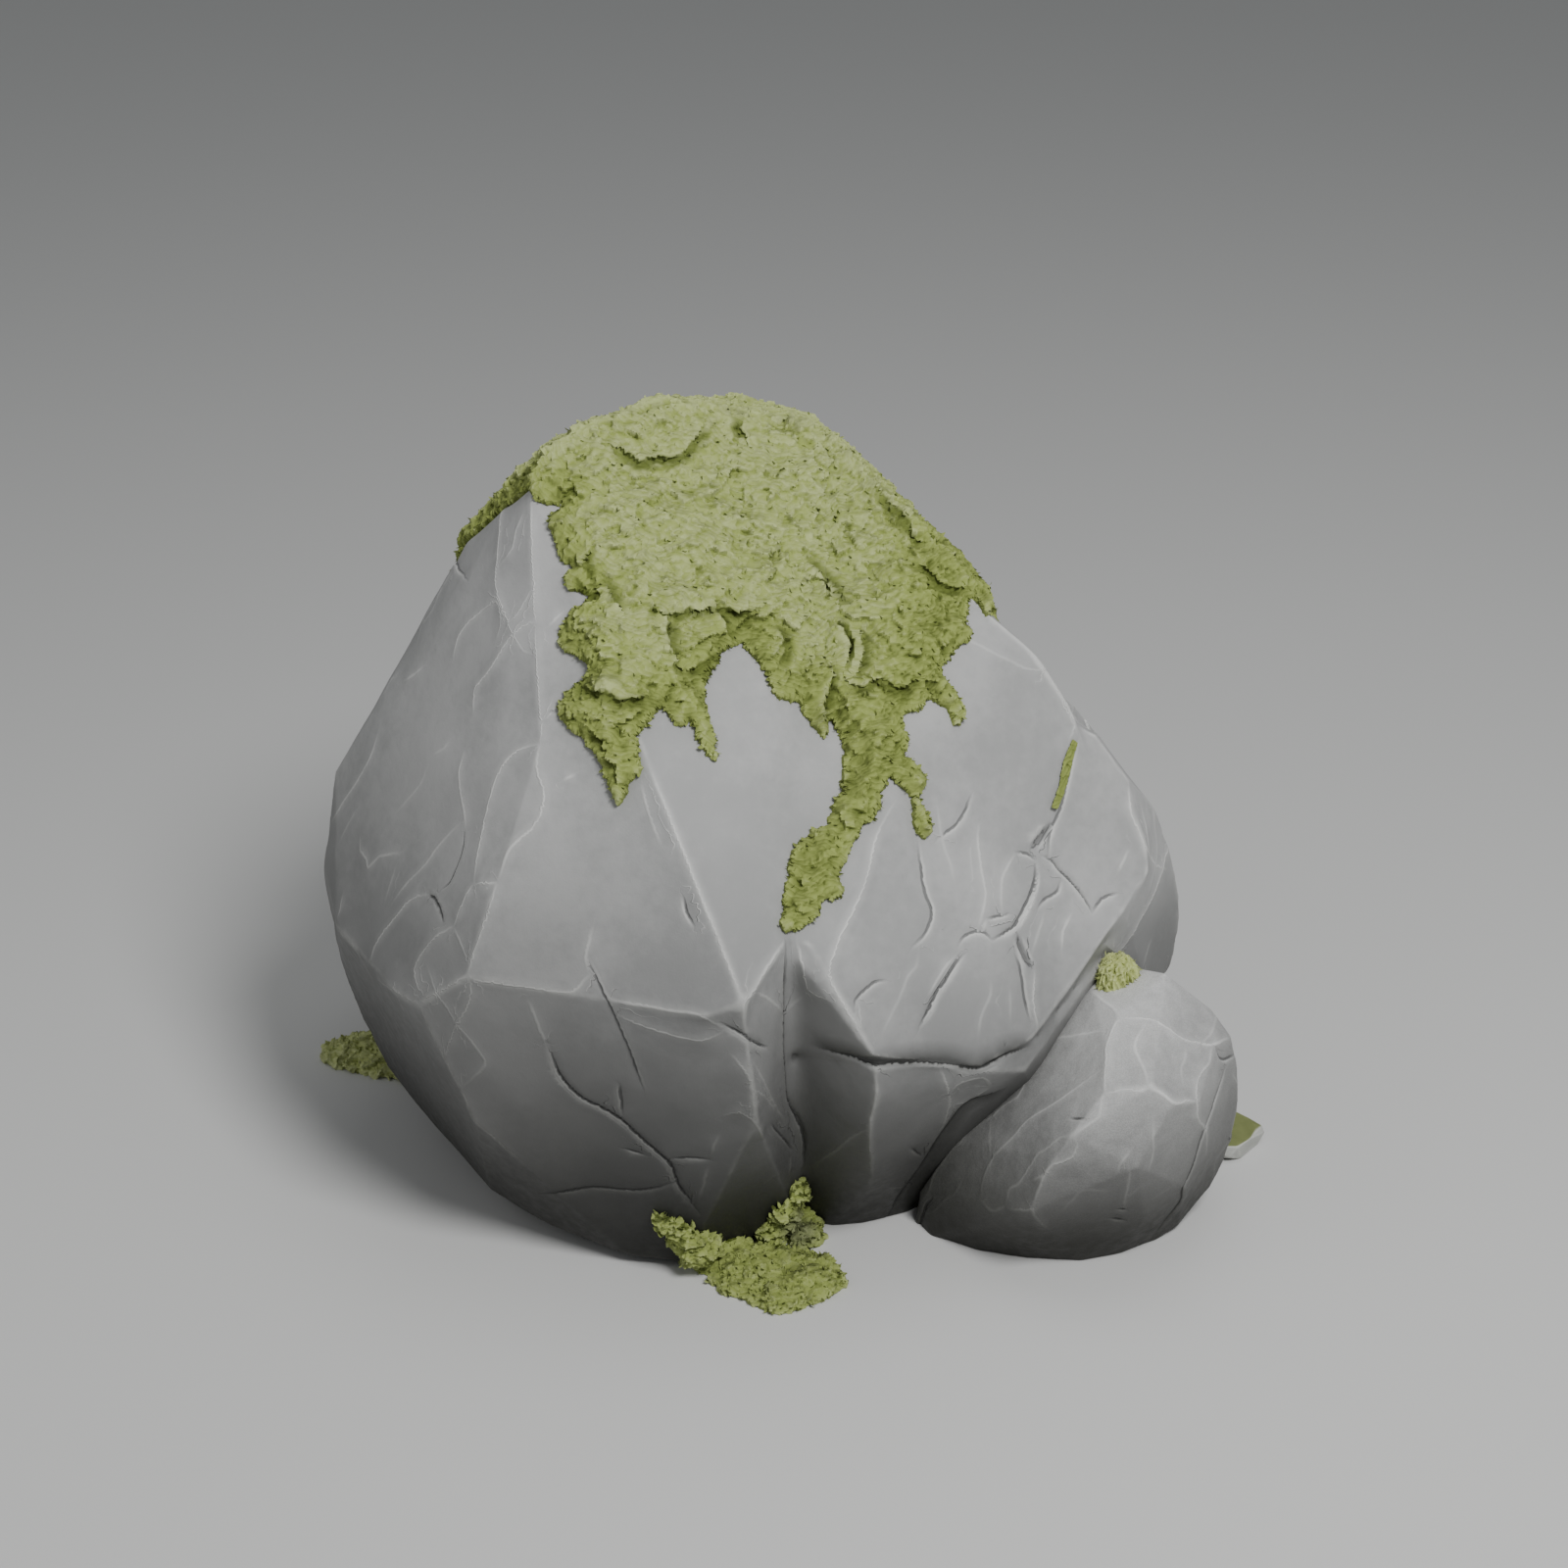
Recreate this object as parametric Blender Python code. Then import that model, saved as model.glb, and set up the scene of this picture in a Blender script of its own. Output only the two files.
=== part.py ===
"""Mossy rock: a garden boulder of two masses, a small boulder leaning on it, a stone chip, and moss.

Metres, +Z up.  The origin is on the flat that the boulder rests on, and the front faces -Y.
The stones' corners are listed in metres.  The edges of the moss and the cracks on the front are drawn
on a front elevation of 1600 by 1600 units, and land on the stone along sight lines from EYE.
"""
import math

import bmesh
import bpy
from mathutils import Matrix, Vector, noise
from mathutils.bvhtree import BVHTree
from mathutils.geometry import delaunay_2d_cdt

SKIN = 0.0005               # clearance left between a stone and the piece laid on it
MOSS_DEPTH = 0.028          # full thickness of the moss cap
MOSS_RIM = 0.011            # thickness of its edge
MOSS_SLOPE = 0.040          # distance over which the edge rises to full thickness
MOSS_STEP = 0.024           # spacing of the moss's inner points
MOSS_WAVE = 0.012           # height of its soft rise and fall
MIDDLE = Vector((-0.05, 0.03, 0.35))

# ---------------------------------------------------------------- front elevation
ELEVATION = math.radians(25)
EYE_DISTANCE = 3.4335
LOOK_AT = Vector((0, 0, 0.45))
VIEW_ANGLE = math.radians(30)
SHEET = 1600
AWAY = Vector((0, math.cos(ELEVATION), -math.sin(ELEVATION)))
UPWARD = Vector((0, math.sin(ELEVATION), math.cos(ELEVATION)))
EYE = LOOK_AT - AWAY * EYE_DISTANCE
UNIT = EYE_DISTANCE * 2 * math.tan(VIEW_ANGLE / 2) / SHEET      # metres to one unit of the sheet

# ---------------------------------------------------------------- corners of the stones
# Each lump is the hull of its corners, listed from the crown down to the foot.
LEFT_MASS = [
    # crown and the back shoulders
    (-0.278, -0.070, 0.838), (-0.222, -0.035, 0.878), (-0.150, -0.010, 0.893), (-0.070, 0.000, 0.890),
    (0.020, 0.010, 0.872), (-0.070, 0.190, 0.835), (-0.220, 0.150, 0.800), (0.030, 0.200, 0.800),
    (-0.120, 0.330, 0.670), (-0.300, 0.260, 0.630), (-0.364, 0.040, 0.737), (-0.360, 0.130, 0.690),
    # the long ridge left of the big front face, and the rim of the flank under it
    (-0.258, -0.262, 0.624), (-0.306, -0.326, 0.488), (-0.337, -0.370, 0.396), (-0.395, -0.333, 0.341),
    (-0.427, -0.290, 0.333), (-0.509, -0.151, 0.341),
    # the ledge under the front face
    (-0.209, -0.399, 0.407), (-0.082, -0.444, 0.390), (-0.043, -0.445, 0.405),
    # the ridge and the valley right of the front face
    (-0.056, -0.425, 0.435), (-0.103, -0.360, 0.527), (-0.150, -0.303, 0.603), (-0.177, -0.251, 0.682),
    (0.002, -0.375, 0.442), (0.072, -0.246, 0.518), (0.109, -0.128, 0.606), (0.088, -0.069, 0.676),
    # left flank, shoulder to foot
    (-0.452, 0.000, 0.587), (-0.526, 0.000, 0.463), (-0.536, -0.050, 0.372), (-0.534, -0.030, 0.284),
    (-0.526, -0.040, 0.223), (-0.498, -0.050, 0.142), (-0.470, -0.060, 0.089),
    # back
    (-0.490, 0.150, 0.440), (-0.450, 0.270, 0.300), (-0.470, 0.160, 0.120), (-0.300, 0.380, 0.420),
    (-0.320, 0.370, 0.160), (-0.080, 0.435, 0.430), (-0.050, 0.420, 0.120),
    # under the ledge
    (-0.366, -0.340, 0.278), (-0.340, -0.345, 0.201), (-0.055, -0.425, 0.327), (-0.030, -0.400, 0.235),
    (0.000, -0.330, 0.278), (0.013, -0.300, 0.176), (-0.339, -0.250, 0.049), (-0.269, -0.290, 0.028),
    (-0.178, -0.330, 0.014), (-0.111, -0.340, 0.011), (0.014, -0.260, 0.019),
    # foot
    (-0.110, -0.320, 0.000), (-0.250, -0.260, 0.000), (-0.350, -0.160, 0.000), (-0.420, 0.000, 0.000),
    (-0.400, 0.160, 0.000), (-0.280, 0.310, 0.000), (-0.050, 0.360, 0.000), (0.050, 0.200, 0.000),
    (0.010, -0.230, 0.000),
]
RIGHT_MASS = [
    # crown, up to the left mass's
    (-0.060, 0.070, 0.865), (0.042, 0.020, 0.850), (0.092, 0.010, 0.806), (0.142, -0.030, 0.752),
    (0.216, -0.020, 0.675), (-0.060, 0.190, 0.815), (0.070, 0.180, 0.765), (0.180, 0.150, 0.650),
    # left rim of the slab, and the valley beside it
    (0.105, -0.010, 0.745), (0.151, -0.130, 0.675), (0.139, -0.195, 0.600), (0.118, -0.250, 0.543),
    (0.086, -0.307, 0.482), (0.052, -0.365, 0.423), (0.064, -0.388, 0.372), (0.097, -0.399, 0.314),
    (0.025, -0.370, 0.437), (0.002, -0.370, 0.437), (0.072, -0.238, 0.500), (0.100, -0.120, 0.600),
    # foot and right rim of the slab
    (0.217, -0.345, 0.267), (0.273, -0.300, 0.280), (0.338, -0.219, 0.342), (0.385, -0.171, 0.371),
    (0.407, -0.143, 0.394), (0.320, -0.085, 0.585), (0.270, -0.080, 0.657), (0.234, -0.080, 0.691),
    # inside
    (0.000, -0.320, 0.272), (-0.060, 0.150, 0.300), (0.330, 0.150, 0.300), (0.360, -0.060, 0.220),
    (0.340, 0.100, 0.500),
]
RIGHT_FOOT = [
    (0.098, -0.390, 0.298), (0.218, -0.340, 0.262), (0.266, -0.305, 0.242), (0.101, -0.380, 0.252),
    (0.094, -0.365, 0.206), (0.100, -0.315, 0.108), (0.020, -0.300, 0.176), (0.000, -0.320, 0.272),
    (0.033, -0.290, 0.109), (0.025, -0.240, 0.000), (0.057, -0.250, 0.000), (0.091, -0.245, 0.000),
    (0.146, -0.220, 0.000), (0.224, -0.320, 0.227), (0.183, -0.310, 0.168), (0.157, -0.240, 0.041),
    (0.344, -0.205, 0.300), (0.394, -0.130, 0.300), (0.403, -0.100, 0.235), (0.330, -0.060, 0.000),
    (0.442, -0.020, 0.200), (0.360, 0.100, 0.000), (0.430, 0.120, 0.200), (0.100, 0.300, 0.000),
    (-0.100, 0.000, 0.000), (0.000, 0.250, 0.300), (0.380, 0.100, 0.320),
]
BACK_MASS = [
    (-0.060, 0.200, 0.825), (0.070, 0.190, 0.765), (0.190, 0.160, 0.645), (-0.080, 0.335, 0.670),
    (0.070, 0.330, 0.640), (0.230, 0.280, 0.560), (0.320, 0.100, 0.530), (0.385, 0.200, 0.430),
    (0.330, 0.330, 0.370), (0.200, 0.410, 0.400), (0.060, 0.445, 0.420), (-0.080, 0.430, 0.420),
    (0.430, 0.130, 0.330), (0.420, 0.200, 0.200), (0.330, 0.340, 0.200), (0.180, 0.420, 0.180),
    (0.050, 0.430, 0.150), (-0.080, 0.410, 0.130), (0.360, 0.110, 0.000), (0.280, 0.260, 0.000),
    (0.100, 0.350, 0.000), (-0.060, 0.330, 0.000), (0.000, 0.000, 0.000), (0.000, 0.000, 0.600),
]
LOBE = [
    (0.333, -0.084, 0.560), (0.354, -0.078, 0.548), (0.391, -0.088, 0.499), (0.393, -0.110, 0.471),
    (0.410, -0.126, 0.429), (0.415, -0.136, 0.403), (0.316, -0.128, 0.490), (0.301, -0.158, 0.436),
    (0.351, -0.178, 0.369), (0.360, -0.050, 0.536), (0.399, -0.050, 0.473), (0.432, -0.050, 0.439),
    (0.457, -0.030, 0.362), (0.470, -0.010, 0.293), (0.470, 0.000, 0.244), (0.462, 0.000, 0.202),
    (0.391, -0.160, 0.356), (0.366, -0.175, 0.330), (0.430, -0.060, 0.215),
    (0.445, 0.120, 0.350), (0.450, 0.110, 0.220), (0.360, 0.140, 0.460), (0.250, 0.100, 0.500),
    (0.300, 0.100, 0.200),
]
SMALL_BOULDER = [
    (0.356, -0.190, 0.293), (0.403, -0.180, 0.301), (0.431, -0.200, 0.306), (0.461, -0.200, 0.280),
    (0.485, -0.210, 0.266), (0.508, -0.220, 0.236), (0.517, -0.220, 0.201), (0.522, -0.220, 0.149),
    (0.513, -0.220, 0.090), (0.494, -0.230, 0.047), (0.456, -0.260, 0.007), (0.429, -0.280, 0.000),
    (0.385, -0.305, 0.000), (0.339, -0.320, 0.000), (0.280, -0.315, 0.000), (0.224, -0.300, 0.000),
    (0.170, -0.270, 0.000), (0.153, -0.240, 0.000), (0.156, -0.250, 0.047), (0.196, -0.270, 0.126),
    (0.227, -0.270, 0.160), (0.269, -0.260, 0.205), (0.286, -0.230, 0.230), (0.321, -0.210, 0.261),
    (0.355, -0.230, 0.286), (0.375, -0.265, 0.287), (0.400, -0.270, 0.287), (0.419, -0.275, 0.282),
    (0.445, -0.285, 0.266), (0.481, -0.250, 0.244), (0.357, -0.310, 0.275), (0.352, -0.365, 0.248),
    (0.394, -0.375, 0.261), (0.423, -0.375, 0.243), (0.452, -0.340, 0.227), (0.318, -0.395, 0.209),
    (0.286, -0.390, 0.161), (0.273, -0.375, 0.114), (0.384, -0.400, 0.177), (0.448, -0.330, 0.106),
    (0.420, -0.060, 0.220), (0.480, -0.100, 0.200), (0.500, -0.100, 0.100), (0.460, -0.090, 0.000),
    (0.330, -0.060, 0.120), (0.300, -0.100, 0.000),
]
SIDE_STONE = [
    (0.554, -0.031, 0.022), (0.567, -0.045, 0.022), (0.572, -0.070, 0.022), (0.560, -0.097, 0.022),
    (0.545, -0.112, 0.022), (0.583, -0.057, 0.018), (0.586, -0.061, 0.010), (0.576, -0.073, 0.000),
    (0.580, -0.050, 0.000), (0.550, -0.105, 0.000), (0.535, -0.115, 0.008), (0.500, -0.110, 0.022),
    (0.505, -0.100, 0.000), (0.540, -0.015, 0.020), (0.480, 0.000, 0.026), (0.440, -0.020, 0.024),
    (0.430, -0.035, 0.000), (0.460, 0.005, 0.000), (0.550, -0.020, 0.000),
]

# ---------------------------------------------------------------- moss
# The cap's front edge on the elevation, left to right, then its back edge from above, in metres.
CAP_FRONT = [
    (545, 508), (559, 515), (575, 518), (563, 538), (575, 571), (582, 580), (577, 603), (598, 610),
    (577, 635), (573, 659), (597, 677), (599, 690), (570, 720), (575, 733), (592, 749), (610, 772),
    (623, 801), (633, 821), (647, 796), (655, 789), (653, 766), (658, 744), (675, 723), (692, 745),
    (703, 742), (720, 768), (732, 788), (735, 768), (727, 740), (720, 716), (720, 694), (740, 665),
    (757, 659), (779, 686), (792, 712), (814, 715), (822, 735), (840, 753), (848, 738), (857, 760),
    (860, 798), (850, 816), (842, 843), (825, 850), (810, 868), (803, 889), (799, 915), (797, 948),
    (811, 946), (834, 933), (846, 919), (859, 910), (860, 890), (871, 858), (878, 843), (894, 833),
    (898, 810), (905, 795), (919, 802), (928, 814), (932, 843), (940, 854), (948, 846), (937, 814),
    (942, 798), (922, 774), (924, 756), (922, 732), (938, 724), (951, 715), (961, 722), (973, 740),
    (982, 728), (972, 707), (959, 682), (977, 665), (992, 648), (984, 637), (988, 614), (995, 618),
    (1007, 630),
]
CAP_BACK = [
    (0.236, -0.030), (0.215, 0.030), (0.245, 0.080), (0.220, 0.130), (0.265, 0.190), (0.190, 0.220),
    (0.200, 0.285), (0.130, 0.270), (0.090, 0.330), (0.050, 0.300), (0.010, 0.370), (-0.020, 0.310),
    (-0.080, 0.330), (-0.120, 0.375), (-0.150, 0.310), (-0.210, 0.290), (-0.250, 0.340),
    (-0.270, 0.260), (-0.330, 0.230), (-0.345, 0.180), (-0.410, 0.160), (-0.378, 0.100),
    (-0.373, 0.065), (-0.352, 0.035), (-0.325, 0.000), (-0.298, -0.030),
]
# The pads lie on the ground, drawn from above in metres.
PAD_FRONT = [
    (-0.092, -0.338), (-0.080, -0.366), (-0.070, -0.388), (-0.048, -0.396), (-0.015, -0.426),
    (0.012, -0.422), (0.032, -0.408), (0.058, -0.388), (0.070, -0.366), (0.064, -0.345),
    (0.050, -0.321), (0.024, -0.312), (0.000, -0.300), (-0.030, -0.300), (-0.067, -0.300),
    (-0.100, -0.300), (-0.120, -0.330),
]
PAD_LEFT = [
    (-0.592, 0.130), (-0.590, 0.157), (-0.572, 0.171), (-0.544, 0.184), (-0.500, 0.187),
    (-0.455, 0.176), (-0.425, 0.140), (-0.425, 0.080), (-0.460, 0.062), (-0.488, 0.076),
    (-0.510, 0.082), (-0.553, 0.099), (-0.576, 0.112),
]
PAD_RIM = 0.008
PAD_DEPTH = 0.024
# Clumps of moss: place on the elevation, radius and thickness in metres.
LEFT_ARM = [
    (681, 1249, 0.014, 0.012), (695, 1261, 0.022, 0.015), (713, 1271, 0.028, 0.026),
    (731, 1278, 0.028, 0.028), (728, 1290, 0.026, 0.024), (746, 1286, 0.030, 0.026),
]
RIGHT_ARM = [
    (768, 1280, 0.014, 0.012), (785, 1270, 0.018, 0.014), (803, 1255, 0.024, 0.020),
    (786, 1252, 0.022, 0.020), (793, 1237, 0.018, 0.016), (800, 1243, 0.022, 0.020),
    (812, 1217, 0.019, 0.015), (817, 1202, 0.011, 0.010), (820, 1238, 0.024, 0.022),
    (821, 1252, 0.026, 0.028), (822, 1266, 0.022, 0.022),
]
TUFT = [
    (1141, 996, 0.025, 0.026), (1132, 1004, 0.018, 0.020), (1138, 1005, 0.016, 0.018),
    (1146, 993, 0.018, 0.020),
]
# A thin line of moss in the crack right of the slab.
STREAK = [
    (1094, 754), (1099, 758), (1093, 782), (1088, 803), (1078, 826), (1072, 825), (1080, 801), (1084, 776),
]
STREAK_RIM = 0.002
STREAK_DEPTH = 0.006

# ---------------------------------------------------------------- cracks in the front
# Each is a run of points on the elevation, with the groove's width and depth in metres.
CRACKS = [
    ([(619, 1018), (630, 1052), (645, 1088), (660, 1112)], 0.016, 0.012),
    ([(560, 1070), (581, 1110), (611, 1128), (631, 1134), (650, 1156), (682, 1183), (690, 1210), (713, 1238)],
     0.012, 0.012),
    ([(735, 1050), (762, 1058), (782, 1068)], 0.010, 0.010),
    ([(1100, 757), (1092, 790), (1084, 815), (1075, 841), (1066, 872), (1044, 928), (1042, 952), (1055, 992),
      (1052, 1030)], 0.014, 0.012),
    ([(1066, 872), (1080, 885), (1108, 918), (1116, 932), (1142, 912)], 0.010, 0.010),
    ([(1010, 938), (1040, 936)], 0.008, 0.008),
    ([(984, 972), (955, 1019), (940, 1049)], 0.010, 0.008),
]


# ---------------------------------------------------------------- tools
def clear_scene():
    for thing in list(bpy.data.objects):
        bpy.data.objects.remove(thing, do_unlink=True)


def material(name, colour, roughness):
    made = bpy.data.materials.new(name)
    made.use_nodes = True
    shader = made.node_tree.nodes['Principled BSDF']
    shader.inputs['Base Color'].default_value = (*colour, 1)
    shader.inputs['Roughness'].default_value = roughness
    made.diffuse_color = (*colour, 1)
    return made


def solid(name, bm, finish=None):
    bmesh.ops.recalc_face_normals(bm, faces=bm.faces)
    mesh = bpy.data.meshes.new(name)
    bm.to_mesh(mesh)
    bm.free()
    thing = bpy.data.objects.new(name, mesh)
    bpy.context.collection.objects.link(thing)
    if finish:
        mesh.materials.append(finish)
    return thing


def lump(name, corners, finish=None):
    bm = bmesh.new()
    for corner in corners:
        bm.verts.new(corner)
    bmesh.ops.convex_hull(bm, input=bm.verts)
    bmesh.ops.delete(bm, geom=[v for v in bm.verts if not v.link_faces], context='VERTS')
    return solid(name, bm, finish)


def boolean(thing, operation, others):
    """Join others to a solid or cut them from it, and keep the result as its plain mesh."""
    for other in others:
        step = thing.modifiers.new(operation, 'BOOLEAN')
        step.operation = operation
        step.solver = 'EXACT'
        step.object = other
    evaluated = thing.evaluated_get(bpy.context.evaluated_depsgraph_get())
    result = bpy.data.meshes.new_from_object(evaluated)
    thing.modifiers.clear()
    thing.data = result
    for other in others:
        bpy.data.objects.remove(other, do_unlink=True)


def swollen(thing, by=SKIN):
    """A copy of a solid, grown by a hair, for trimming the piece that is laid on it."""
    bm = bmesh.new()
    bm.from_mesh(thing.data)
    bm.normal_update()
    for vertex in bm.verts:
        vertex.co += vertex.normal * by * vertex.calc_shell_factor()
    return solid('trim', bm)


def surface(things):
    """One tree for ray casts against several solids."""
    points, faces = [], []
    for thing in things:
        first = len(points)
        points += [vertex.co.copy() for vertex in thing.data.vertices]
        faces += [[first + index for index in face.vertices] for face in thing.data.polygons]
    return BVHTree.FromPolygons(points, faces)


def sight(across, down):
    """The sight line from EYE through a point of the elevation."""
    span = 2 * math.tan(VIEW_ANGLE / 2) / SHEET
    sideways = Vector((1, 0, 0)) * (across - SHEET / 2) * span
    return (AWAY + sideways + UPWARD * (SHEET / 2 - down) * span).normalized()


def on_stone(tree, across, down):
    point, normal, _, _ = tree.ray_cast(EYE, sight(across, down))
    return point, normal


def inside(point, outline):
    hit = False
    for (x1, y1), (x2, y2) in zip(outline, outline[1:] + outline[:1]):
        if (y1 > point[1]) != (y2 > point[1]) and point[0] < x1 + (point[1] - y1) * (x2 - x1) / (y2 - y1):
            hit = not hit
    return hit


def edge_distance(point, outline):
    point = Vector(point)
    nearest = math.inf
    for start, end in zip(outline, outline[1:] + outline[:1]):
        start, run = Vector(start), Vector(end) - Vector(start)
        share = max(0, min(1, (point - start).dot(run) / run.length_squared))
        nearest = min(nearest, (point - start - run * share).length)
    return nearest


def spread(outline, step):
    """Fill an outline with a triangle mesh: its points, their distances from the edge, and the faces."""
    low = [min(p[axis] for p in outline) for axis in (0, 1)]
    high = [max(p[axis] for p in outline) for axis in (0, 1)]
    points = [Vector(p) for p in outline]
    row_height = step * math.sqrt(3) / 2
    for row in range(int((high[1] - low[1]) / row_height) + 2):
        for column in range(int((high[0] - low[0]) / step) + 2):
            point = (low[0] + (column + 0.5 * (row % 2)) * step, low[1] + row * row_height)
            if inside(point, outline) and edge_distance(point, outline) > 0.35 * step:
                points.append(Vector(point))
    count = len(outline)
    loop = [(i, (i + 1) % count) for i in range(count)]
    points, _, faces, _, _, _ = delaunay_2d_cdt(points, loop, [], 1, 1e-7)
    return points, [edge_distance(p, outline) for p in points], faces


def blanket(name, faces, tops, bottoms, finish):
    """A closed solid between two copies of one triangle mesh."""
    bm = bmesh.new()
    upper = [bm.verts.new(p) for p in tops]
    lower = [bm.verts.new(p) for p in bottoms]
    borders = {}
    for face in faces:
        bm.faces.new([upper[i] for i in face])
        bm.faces.new([lower[i] for i in reversed(face)])
        for edge in zip(face, face[1:] + face[:1]):
            borders[edge] = borders.get(edge, 0) + 1
    for a, b in borders:
        if (b, a) not in borders:
            bm.faces.new([upper[b], upper[a], lower[a], lower[b]])
    bmesh.ops.triangulate(bm, faces=bm.faces)
    return solid(name, bm, finish)


def rise(distance, rim, depth, slope):
    """Thickness of moss at a distance from its edge."""
    share = min(1, distance / slope)
    return rim + (depth - rim) * math.sin(share * math.pi / 2)


# ---------------------------------------------------------------- stones
def build_boulder(finish):
    boulder = lump('boulder', LEFT_MASS, finish)
    others = [lump('mass', corners) for corners in (RIGHT_MASS, RIGHT_FOOT, BACK_MASS, LOBE)]
    boolean(boulder, 'UNION', others)
    return boulder


def groove(tree, run, width, depth):
    """A V-shaped cutter along a crack, narrow at both ends."""
    proud = 0.004
    spots = [on_stone(tree, *place) for place in run]
    bm = bmesh.new()
    rings = []
    for index, (point, normal) in enumerate(spots):
        before, after = spots[max(0, index - 1)][0], spots[min(len(spots) - 1, index + 1)][0]
        side = (after - before).cross(normal).normalized()
        share = 0.35 if index in (0, len(spots) - 1) else 1.0
        half = side * width / 2 * share * (1 + proud / depth)
        low, high = point - normal * depth * share, point + normal * proud
        rings.append([bm.verts.new(p) for p in (low, high - half, high + half)])
    for first, second in zip(rings, rings[1:]):
        for a, b in ((0, 1), (1, 2), (2, 0)):
            bm.faces.new([first[a], first[b], second[b], second[a]])
    bm.faces.new(rings[0])
    bm.faces.new(rings[-1])
    return solid('groove', bm)


# ---------------------------------------------------------------- moss
def lay_cap(tree, finish):
    """The cap: its plan outline on the stone, raised away from the boulder's middle."""
    front = [on_stone(tree, *place)[0].to_2d() for place in CAP_FRONT]
    outline = [tuple(p) for p in front] + CAP_BACK
    points, distances, faces = spread(outline, MOSS_STEP)
    tops, bottoms = [], []
    for point, distance in zip(points, distances):
        foot, _, _, _ = tree.ray_cast(Vector((*point, 2)), Vector((0, 0, -1)))
        outward = (foot - MIDDLE).normalized()
        wave = MOSS_WAVE * noise.noise(foot * 9) * min(1, distance / MOSS_SLOPE)
        tops.append(foot + outward * (rise(distance, MOSS_RIM, MOSS_DEPTH, MOSS_SLOPE) + wave))
        bottoms.append(foot - outward * 0.006)
    return blanket('moss_cap', faces, tops, bottoms, finish)


def lay_pad(name, outline, finish):
    points, distances, faces = spread(outline, MOSS_STEP)
    tops = [Vector((*p, rise(d, PAD_RIM, PAD_DEPTH, MOSS_SLOPE))) for p, d in zip(points, distances)]
    bottoms = [Vector((*p, 0)) for p in points]
    return blanket(name, faces, tops, bottoms, finish)


def lay_strip(name, tree, outline, rim, depth, finish):
    """A thin strip laid on the stone along the sight lines."""
    points, distances, faces = spread(outline, 12)
    tops, bottoms = [], []
    for point, distance in zip(points, distances):
        foot, normal = on_stone(tree, *point)
        tops.append(foot + normal * rise(distance * UNIT, rim, depth, depth))
        bottoms.append(foot - normal * depth)
    return blanket(name, faces, tops, bottoms, finish)


def clump(tree, across, down, radius, thickness, finish):
    """A lumpy cushion of moss, flattened onto the surface under it."""
    foot, normal = on_stone(tree, across, down)
    bm = bmesh.new()
    bmesh.ops.create_icosphere(bm, subdivisions=2, radius=radius)
    for vertex in bm.verts:
        vertex.co *= 1 + 0.25 * noise.noise(foot * 40 + vertex.co * 60)
        vertex.co.z *= thickness / radius
    turn = normal.to_track_quat('Z', 'Y').to_matrix().to_4x4()
    bm.transform(Matrix.Translation(foot) @ turn)
    return solid('clump', bm, finish)


def clumps(name, tree, places, finish):
    first, *others = [clump(tree, *place, finish) for place in places]
    first.name = name
    boolean(first, 'UNION', others)
    return first


def ground_block():
    """The ground, as a block that trims what would hang below it."""
    bm = bmesh.new()
    bmesh.ops.create_cube(bm, size=2, matrix=Matrix.Translation((0, 0, -1)))
    return solid('ground', bm)


def ground_and(things):
    block = ground_block()
    tree = surface([block, *things])
    bpy.data.objects.remove(block, do_unlink=True)
    return tree


clear_scene()
grey = material('grey_stone', (0.36, 0.36, 0.35), 0.75)
green = material('moss', (0.26, 0.31, 0.10), 0.95)

boulder = build_boulder(grey)
small_boulder = lump('small_boulder', SMALL_BOULDER, grey)
boolean(small_boulder, 'DIFFERENCE', [swollen(boulder)])
side_stone = lump('side_stone', SIDE_STONE, grey)
boolean(side_stone, 'DIFFERENCE', [swollen(boulder), swollen(small_boulder)])

bare = surface([boulder])
stones = surface([boulder, small_boulder])
footing = ground_and([boulder])

moss_cap = lay_cap(bare, green)
boolean(moss_cap, 'DIFFERENCE', [swollen(boulder)])
moss_pad_front = lay_pad('moss_pad_front', PAD_FRONT, green)
arms = [clump(footing, *place, green) for place in LEFT_ARM + RIGHT_ARM]
boolean(moss_pad_front, 'UNION', arms)
boolean(moss_pad_front, 'DIFFERENCE', [swollen(boulder), ground_block()])
moss_pad_left = lay_pad('moss_pad_left', PAD_LEFT, green)
boolean(moss_pad_left, 'DIFFERENCE', [swollen(boulder)])
moss_tuft = clumps('moss_tuft', stones, TUFT, green)
boolean(moss_tuft, 'DIFFERENCE', [swollen(boulder), swollen(small_boulder)])
moss_streak = lay_strip('moss_streak', bare, STREAK, STREAK_RIM, STREAK_DEPTH, green)
boolean(moss_streak, 'DIFFERENCE', [swollen(boulder)])

boolean(boulder, 'DIFFERENCE', [groove(bare, *crack) for crack in CRACKS])
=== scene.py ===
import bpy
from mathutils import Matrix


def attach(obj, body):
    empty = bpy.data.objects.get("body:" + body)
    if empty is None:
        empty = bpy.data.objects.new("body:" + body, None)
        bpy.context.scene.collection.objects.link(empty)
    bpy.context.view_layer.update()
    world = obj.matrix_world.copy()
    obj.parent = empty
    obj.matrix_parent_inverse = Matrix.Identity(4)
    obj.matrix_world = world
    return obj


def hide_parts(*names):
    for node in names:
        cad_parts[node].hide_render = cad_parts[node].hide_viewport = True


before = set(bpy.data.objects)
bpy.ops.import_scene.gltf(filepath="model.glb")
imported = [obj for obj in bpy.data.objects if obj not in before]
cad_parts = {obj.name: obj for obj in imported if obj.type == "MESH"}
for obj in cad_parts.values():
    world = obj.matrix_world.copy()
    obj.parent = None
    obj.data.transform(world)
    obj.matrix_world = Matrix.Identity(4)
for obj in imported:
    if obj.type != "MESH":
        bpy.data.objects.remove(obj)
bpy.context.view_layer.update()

import math

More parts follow.
